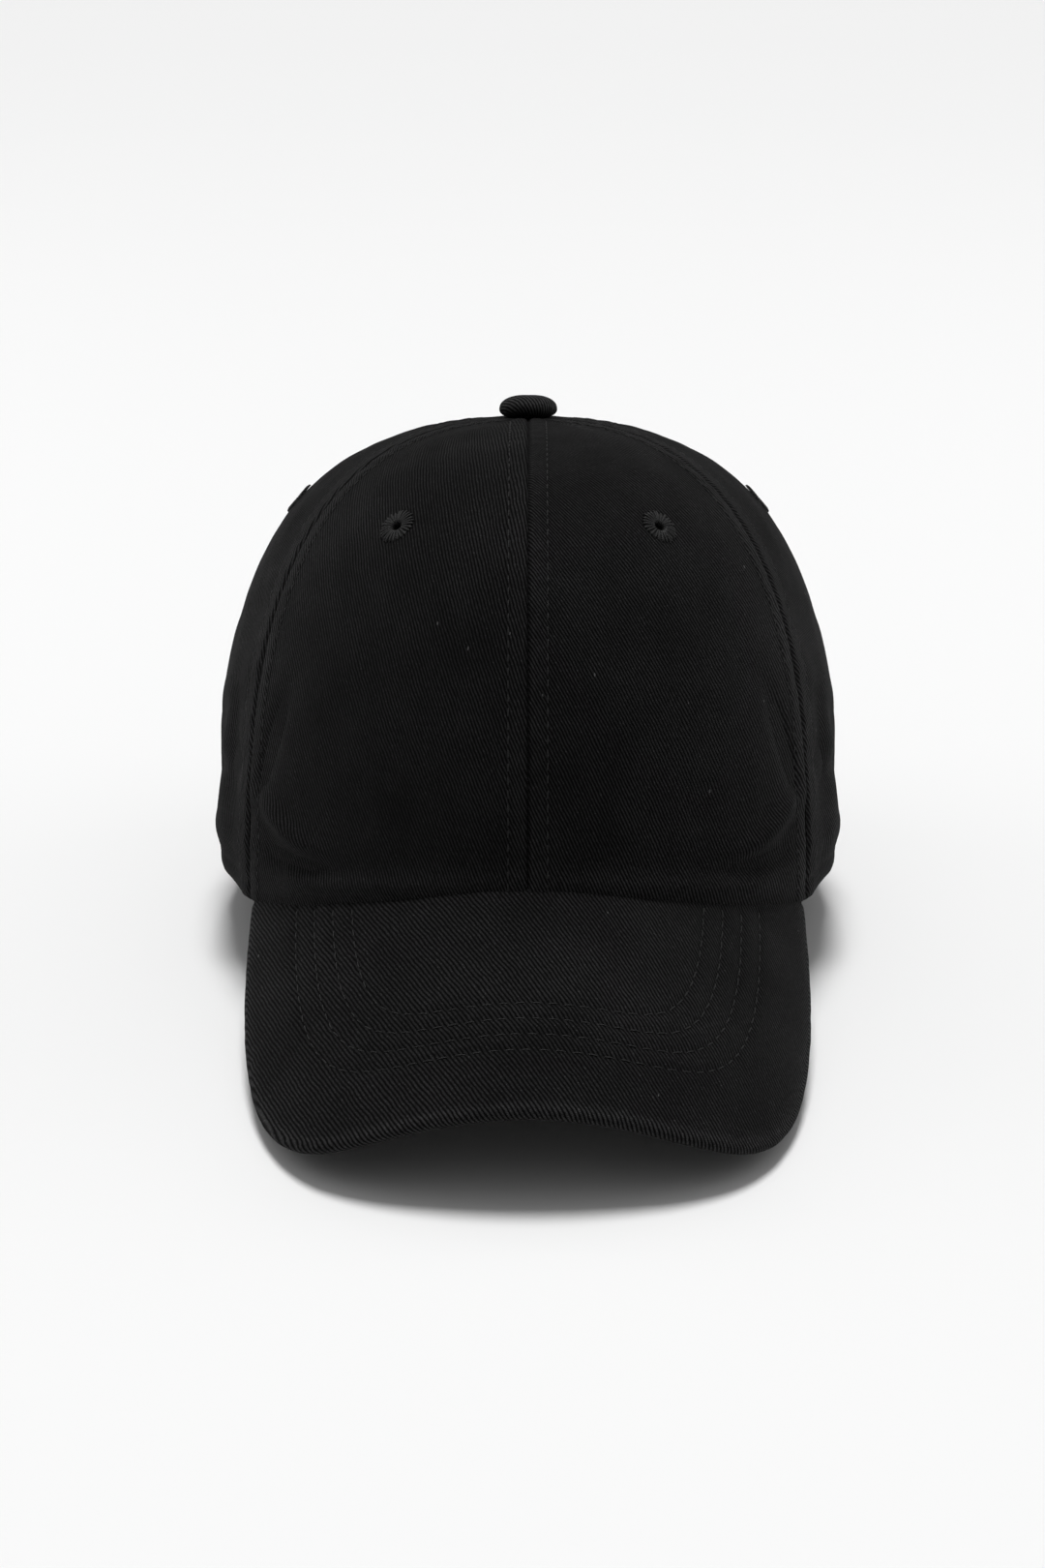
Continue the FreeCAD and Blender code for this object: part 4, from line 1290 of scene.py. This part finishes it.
def makeTape(name, seamDegrees, low, twin=None):
    look = inside["tape"]
    across = np.concatenate([[-1, -0.97, -0.92], np.linspace(-0.84, 0.84, 19), [0.92, 0.97, 1]])
    high = float(heightAtRadius(np.array([math.radians(seamDegrees)]), np.array([look["topRadius"]]))[0])
    angle, height, off, run = stripGrid(seamDegrees, low, high, across, look["rows"])
    lineUp = bump(np.abs(off), crownStitching["offset"], 0.9)
    soft = look["puff"] * (1 - np.abs(across[None, :]) ** 6) * (1 - 0.9 * lineUp)
    soft = soft + 0.06 * softNoise(np.stack([off, np.broadcast_to(run[:, None], off.shape), off * 0], -1),
        5.0, 70 + int(seamDegrees))
    outer = crownPoint(angle, height, look["layer"][0] + 0 * off)
    inner = crownPoint(angle, height, look["layer"][1] + soft)
    cloth = np.stack([off, np.broadcast_to(run[:, None], off.shape)], -1) + 400
    # painted shade along the stitch lines, where the tape is pressed in
    piece = sheetPiece(name + "_cloth", outer, inner, cloths["tape"], "crown", [name], cloth,
                       {"deep": 0.5 * lineUp})
    if twin:
        mirroredPiece(piece, twin + "_cloth", "crown", [twin])
    lines = []
    for sign in (-1, 1):
        share = sign * crownStitching["offset"] / look["half"]
        angle, height, _, _ = stripGrid(seamDegrees, low + 2.0, high, np.array([share]), 200)
        normal = -crownNormal(angle[:, 0], height[:, 0])
        keep = np.hypot(*(crownPoint(angle[:, 0], height[:, 0], 0)[:, :2]
            - [0, crown["axisY"]]).T) > look["stitchStop"]
        lines.append((crownPoint(angle[:, 0], height[:, 0], look["layer"][1] + 0.10)[keep], normal[keep]))
    return bothSides(lines) if twin else lines


def makeFacing():
    look = inside["facing"]
    turn = np.linspace(0.012, np.pi - 0.012, 121)
    grow = np.concatenate([[0.15, 0.4], np.linspace(0.8, look["wide"] - 0.5, 9), [look["wide"]]])
    x = (arch["halfWidth"] + grow[:, None]) * np.cos(turn)[None, :]
    z = (arch["height"] + grow[:, None]) * np.sin(turn)[None, :]
    angle = backAngle(x, z)
    outer = crownPoint(angle, z, look["layer"][0] + 0 * x)
    inner = crownPoint(angle, z, look["layer"][1] + 0.06 * softNoise(crownPoint(angle, z, 0), 6.0, 81))
    cloth = np.stack([np.broadcast_to(turn[None, :] * 40, x.shape), np.broadcast_to(grow[:, None], x.shape)],
        -1) + 500
    sheetPiece("arch_facing_cloth", outer[::-1], inner[::-1], cloths["tape"], "crown",
        ["arch_facing"], cloth[::-1])


def bandGrid(look, rows, columns):
    return crownGrid(
        math.radians(-look["end"]), math.radians(look["end"]), lambda a: rimHeight(a) + look["lift"],
        lambda a: rimHeight(a) + look["height"], rows, columns)


def makeSweatband():
    look = inside["band"]
    rows = np.array([0, 0.015, 0.04, 0.08, 0.12, 0.18, 0.26, 0.35, 0.45, 0.55, 0.65, 0.74, 0.82, 0.88, 0.925,
        0.955, 0.98, 1.0])
    angle, height, fromStart, _ = bandGrid(look, rows, 300)
    plain = crownPoint(angle, height, 0)
    up = np.broadcast_to(rows[:, None], angle.shape)
    padded = smoothStep(np.radians(look["paddedTo"]) - np.abs(angle), 0, 0.12)
    belly = look["puff"] * np.sin(np.pi * up) ** 0.6 * (0.35 + 0.65 * padded)
    belly = belly + 0.20 * softNoise(plain, 24.0, 91) * np.sin(np.pi * up)
    groove = 0.30 * (bump(up, 0.94, 0.02) + bump(up, 0.07, 0.025))
    fold = 0.45 * smoothStep(up, 0.90, 0.95)
    edge = 0.30 * (1 - np.clip(np.minimum(1 - up, up) / 0.03, 0, 1)) ** 2
    wave = 0.5 * softNoise(np.dstack([plain[..., :2], 0 * angle]), 45.0, 93) * smoothStep(up, 0.6, 1.0)
    outer = crownPoint(angle, height, look["layer"][0] + edge + 0.25 * wave)
    inner = crownPoint(angle, height, look["layer"][1] + belly + fold * 0.6 - groove - edge + 0.25 * wave)
    run = runLength(plain[0])
    cloth = np.stack([np.broadcast_to(run[None, :], angle.shape), up * 31], -1) + 600
    # painted shade in the stitched groove; the top fold is paler from wear
    band = sheetPiece("sweatband_cloth", outer, inner, cloths["sweatband"], "crown",
        ["sweatband"], cloth,
                      {"wearAndHighlight": 0.4 * bump(up, 0.985, 0.02), "deep": 0.5 * bump(up, 0.94, 0.015)})
    lines = []
    for share in look["stitchedAt"]:
        row = int(np.argmin(np.abs(rows - share)))
        points = crownPoint(angle[row], height[row],
            look["layer"][1] + belly[row] + fold[row] * 0.6 - groove[row] - 0.05)
        lines.append((points, -crownNormal(angle[row], height[row])))
    threadPiece("sweatband_stitching", lines, "crown", seed=14, pitch=3.0)
    return band


def makeFoam():
    look = inside["foam"]
    rows = np.array([0, 0.02, 0.06, 0.15, 0.3, 0.5, 0.7, 0.85, 0.94, 0.98, 1.0])
    angle, height, _, _ = bandGrid(look, rows, 160)
    up = np.broadcast_to(rows[:, None], angle.shape)
    middle, half = sum(look["layer"]) / 2, (look["layer"][1] - look["layer"][0]) / 2
    thick = half * np.maximum(1 - np.abs(2 * up - 1) ** 8, 0.12) ** 0.5
    foam, tree, shader = newMaterial("greyFoam")
    do = mathKit(tree)
    place = tree.nodes.new("ShaderNodeTexCoord")
    cells = tree.nodes.new("ShaderNodeTexVoronoi")
    cells.inputs["Scale"].default_value = 1400.0
    tree.links.new(place.outputs["Object"], cells.inputs["Vector"])
    # darker in the middle of each cell, where the bump sinks it: painted shade in the pores
    tone = do("MULTIPLY_ADD", cells.outputs["Distance"], 0.05, 0.03)
    tree.links.new(colorNode(tree, [tone] * 3), shader.inputs["Base Color"])
    tree.links.new(bumpNode(tree, cells.outputs["Distance"], 0.0002), shader.inputs["Normal"])
    shader.inputs["Roughness"].default_value = 0.95
    piece = sheetPiece("sweatband_foam_pad", crownPoint(angle, height, middle - thick),
        crownPoint(angle, height, middle + thick),
                       foam, "crown", ["sweatband_foam"])


def rimAt(degrees):
    return float(rimHeight(np.array([math.radians(degrees)]))[0])


makeBuckram()
tapeRows = makeTape("seam_tape_front_centre", 0.0, rimAt(0.0))
tapeRows += makeTape("seam_tape_front_left", crown["seamFront"], rimAt(crown["seamFront"]),
    "seam_tape_front_right")
tapeRows += makeTape("seam_tape_rear_left", crown["seamRear"], 0.3, "seam_tape_rear_right")
tapeRows += makeTape("seam_tape_back_centre", 180.0, arch["height"] + 9.6)
threadPiece("tape_stitching", tapeRows, "crown", seed=13)
makeFacing()
makeSweatband()
makeFoam()
print("stage: inside of the crown")


# Strap, looped tab and buckle.

strapLook = {
    "outer": 86.1,      # radii round the crown's axis
    "inner": 85.3,
    "low": 5.0,
    "wide": 18.0,
    "from": -44.0,      # degrees from the back, towards the wearer's left
    "to": 42.0,
    "hem": 2.2,
    "pitch": 3.2,
}
tabLook = {
    "tail": 86.62,
    "from": -34.9,
    "barAngle": -15.68,
    "barOut": 87.60,
    "wrap": 1.10,
    "thick": 0.22,
    "low": 5.2,
    "high": 22.8,
    "overlap": 7.5,
    "clear": 0.06,
}


def backPoint(angle, radius, height):
    return np.stack([radius * np.sin(angle), crown["axisY"] + radius * np.cos(angle), height + 0 * angle], -1)


def makeStrap():
    look = strapLook
    start, end = math.radians(look["from"]), math.radians(look["to"])
    middle = (look["outer"] + look["inner"]) / 2
    half = look["wide"] / 2
    length = (end - start) * middle
    along = np.concatenate([half * (1 - np.cos(np.linspace(0.16, np.pi / 2, 16))),
        np.linspace(half, length, 90)[1:]])
    reach = np.where(along < half, np.sqrt(np.maximum(half ** 2 - (half - along) ** 2, 0)), half)
    across = np.concatenate([[-1, -0.985, -0.95, -0.89, -0.82, -0.755], np.linspace(-0.68, 0.68, 9),
        [0.755, 0.82, 0.89, 0.95, 0.985, 1]])
    angle = start + np.broadcast_to(along[None, :], (len(across), len(along))) / middle
    off = across[:, None] * reach[None, :]
    height = look["low"] + half + off
    toEdge = np.minimum(half - np.abs(off), np.maximum(along[None, :], 0.0) + 0 * off)
    rounded = np.sqrt(np.clip(1 - (1 - np.clip(toEdge / 0.55, 0, 1)) ** 2, 0.02, 1))
    thick = (look["outer"] - look["inner"]) / 2 * rounded
    thick = thick - 0.10 * bump(toEdge, look["hem"], 0.5)
    place = np.stack([angle * middle, off, 0 * off], -1)
    thick = thick * (1 + 0.06 * softNoise(place, 7.0, 101))
    cloth = np.stack([place[..., 0], off], -1) + 1700
    # painted shade along the hem stitching, where the strap dips; the edges are paler from wear
    masks = {"wearAndHighlight": 0.5 * bump(toEdge, 0.4, 0.4), "deep": 0.5 * bump(toEdge, look["hem"], 0.35)}
    outer, inner = backPoint(angle, middle + thick, height), backPoint(angle, middle - thick, height)
    sheetPiece("strap_cloth", outer[:, ::-1], inner[:, ::-1], cloths["strapTwill"], "strap",
        ["strap"], cloth[:, ::-1],
               {key: value[:, ::-1] for key, value in masks.items()})
    lines = []
    for sign in (-1, 1):
        for radius, out in ((look["outer"] - 0.10, 1), (look["inner"] + 0.10, -1)):
            a = np.linspace(start + 0.09, end, 200)
            z = look["low"] + half + sign * (half - look["hem"])
            points = backPoint(a, radius, z)
            lines.append((points, backPoint(a, radius + out, z) - points))
    threadPiece("strap_stitching", lines, "strap", seed=15, pitch=look["pitch"], scale=0.55)


def makeTab():
    look = tabLook
    bar = math.radians(look["barAngle"])
    centre = np.array([look["barOut"] * math.sin(bar), look["barOut"] * math.cos(bar)])
    outward = centre / np.hypot(*centre)
    sideways = np.array([outward[1], -outward[0]])
    tail = [look["tail"] * np.array([math.sin(a), math.cos(a)])
        for a in np.linspace(math.radians(look["from"]), bar, 26)[:-1]]
    wrap = [centre + look["wrap"] * (-outward * math.cos(t) + sideways * math.sin(t))
        for t in np.linspace(0, math.radians(200), 18)]
    back = []
    rest = look["tail"] + 2 * look["thick"] + look["clear"]
    drop = look["barOut"] + look["wrap"] * math.cos(math.radians(20)) - rest
    for s in np.linspace(0.08, 1, 14):
        a = bar - s * look["overlap"] / look["tail"]
        radius = rest + drop * (1 - smoothStep(np.array(s), 0.0, 0.62))
        back.append(float(radius) * np.array([math.sin(a), math.cos(a)]))
    line = np.array(tail + wrap + back)
    ahead = np.gradient(line, axis=0)
    ahead /= np.linalg.norm(ahead, axis=-1, keepdims=True)
    normal = np.stack([-ahead[:, 1], ahead[:, 0]], -1)
    across = np.concatenate([[0, 0.02, 0.06], np.linspace(0.12, 0.88, 7), [0.94, 0.98, 1]])
    thick = look["thick"] * np.sqrt(np.clip(1 - np.abs(2 * across - 1) ** 14, 0.05, 1))

    def face(sign):
        flat = line[None] + normal[None] * (sign * thick[:, None, None])
        z = look["low"] + (look["high"] - look["low"]) * across
        return np.dstack([flat[..., 0], flat[..., 1] + crown["axisY"],
            np.broadcast_to(z[:, None], flat.shape[:2])])

    run = runLength(line)
    cloth = np.stack([np.broadcast_to(run[None, :], (len(across), len(line))),
        np.broadcast_to(across[:, None] * (look["high"] - look["low"]), (len(across), len(line)))], -1) + 1900
    wearAndHighlight = np.broadcast_to(0.5 * bump(np.minimum(across, 1 - across), 0.02, 0.02)[:, None], cloth.shape[:2])
    sheetPiece("strap_tab_cloth", face(1)[:, ::-1], face(-1)[:, ::-1], cloths["strapTwill"], "crown",
        ["strap_tab"], cloth[:, ::-1], {"wearAndHighlight": wearAndHighlight[:, ::-1]})


def shadeNode(node, material):
    mesh = frame["nodes"][node].data
    if not mesh.materials:
        mesh.materials.append(material)
    for slot in frame["nodes"][node].material_slots:
        slot.material = material


makeStrap()
makeTab()
for node in ("buckle_frame", "buckle_lever", "buckle_pin"):
    shadeNode(node, antiqueBrass)
for node in ("button_shell", "button_rivet", "button_washer"):
    shadeNode(node, dullAluminium)
shadeNode("button_core", blackPlastic)
print("stage: strap and buckle")


# Floor, light and camera.

studio = {
    "distance": 778.8,
    "rise": math.radians(12.16),   # camera above the worn rim's plane
    "lens": 62.3,
    "lookOver": math.radians(1.547),    # how far the view is turned up and aside from the middle of the rim
    "lookAside": math.radians(0.123),
    "sensor": 36,
    "floorTone": 0.86,
    "floorHalf": 60.0,             # metres
    "skyLow": 0.04,                # brightness of the surroundings at the horizon, and its rise to the zenith
    "skyRise": 0.46,
    "horizonTone": 0.82,
    "horizonFade": (-16.7, 2.34),  # slope and start of the bright band near the horizon
    "sunLean": 9.0,                # degrees behind the upright
    "sunWidth": 19.0,
    "sunPower": 2.42,
    "boxes": {"leftBox": -1.3, "rightBox": 1.3},    # metres to the side
}


def addCamera():
    data = bpy.data.cameras.new("camera")
    data.sensor_fit = "VERTICAL"
    data.sensor_height = studio["sensor"]
    data.lens = studio["lens"]
    camera = newObject("camera", data)
    forward = np.array([0, math.cos(studio["rise"]), -math.sin(studio["rise"])])
    origin = np.zeros(3)
    place = Vector(toTable(origin - forward * studio["distance"]))
    ahead = Vector(toTable(origin)) - place
    camera.location = place
    camera.rotation_mode = "XYZ"
    pitch = math.atan2(ahead.z, ahead.y)
    camera.rotation_euler = (math.pi / 2 + pitch + studio["lookOver"], 0, studio["lookAside"])
    bpy.context.scene.camera = camera


def areaLight(name, place, target, size, power):
    data = bpy.data.lights.new(name, "AREA")
    data.shape = "RECTANGLE"
    data.size = size
    data.size_y = size
    data.energy = power
    light = newObject(name, data)
    light.location = place
    light.rotation_euler = (Vector(target) - Vector(place)).to_track_quat("-Z", "Y").to_euler()


def addStudio():
    mesh = bpy.data.meshes.new("floor")
    half = studio["floorHalf"]
    mesh.from_pydata([(-half, -half, 0), (half, -half, 0), (half, half, 0), (-half, half, 0)], [],
        [(0, 1, 2, 3)])
    floor = newObject("floor", mesh)
    material, _, shader = newMaterial("floorPaper")
    shader.inputs["Base Color"].default_value = (studio["floorTone"],) * 3 + (1,)
    shader.inputs["Roughness"].default_value = 0.9
    shader.inputs["Specular IOR Level"].default_value = 0.1
    mesh.materials.append(material)
    world = bpy.data.worlds.new("studio")
    world.use_nodes = True
    sky = world.node_tree
    do = mathKit(sky)
    sky.nodes["Background"].inputs["Color"].default_value = (1, 1, 1, 1)
    direction = sky.nodes.new("ShaderNodeTexCoord")
    parts = sky.nodes.new("ShaderNodeSeparateXYZ")
    sky.links.new(direction.outputs["Generated"], parts.inputs[0])
    upward = do("MAXIMUM", parts.outputs["Z"], 0.0)
    upward = do("MULTIPLY", upward, upward)
    glow = do("MULTIPLY_ADD", upward, studio["skyRise"], studio["skyLow"])
    nearHorizon = do("MULTIPLY_ADD", parts.outputs["Z"], *studio["horizonFade"], clamp=True)
    glow = do("MAXIMUM", glow, do("MULTIPLY", nearHorizon, studio["horizonTone"]))
    sky.links.new(glow, sky.nodes["Background"].inputs["Strength"])
    bpy.context.scene.world = world
    data = bpy.data.lights.new("ceiling", "SUN")
    data.energy = studio["sunPower"]
    data.angle = math.radians(studio["sunWidth"])
    light = newObject("ceiling", data)
    light.rotation_euler = (math.radians(-studio["sunLean"]), 0, 0)
    for name, side in studio["boxes"].items():
        areaLight(name, (side, 0.3, 0.6), (0, 0, 0.08), 0.9, 2.5)
    bpy.context.scene.view_settings.view_transform = "Standard"


addCamera()
addStudio()
print("stage: camera and studio")
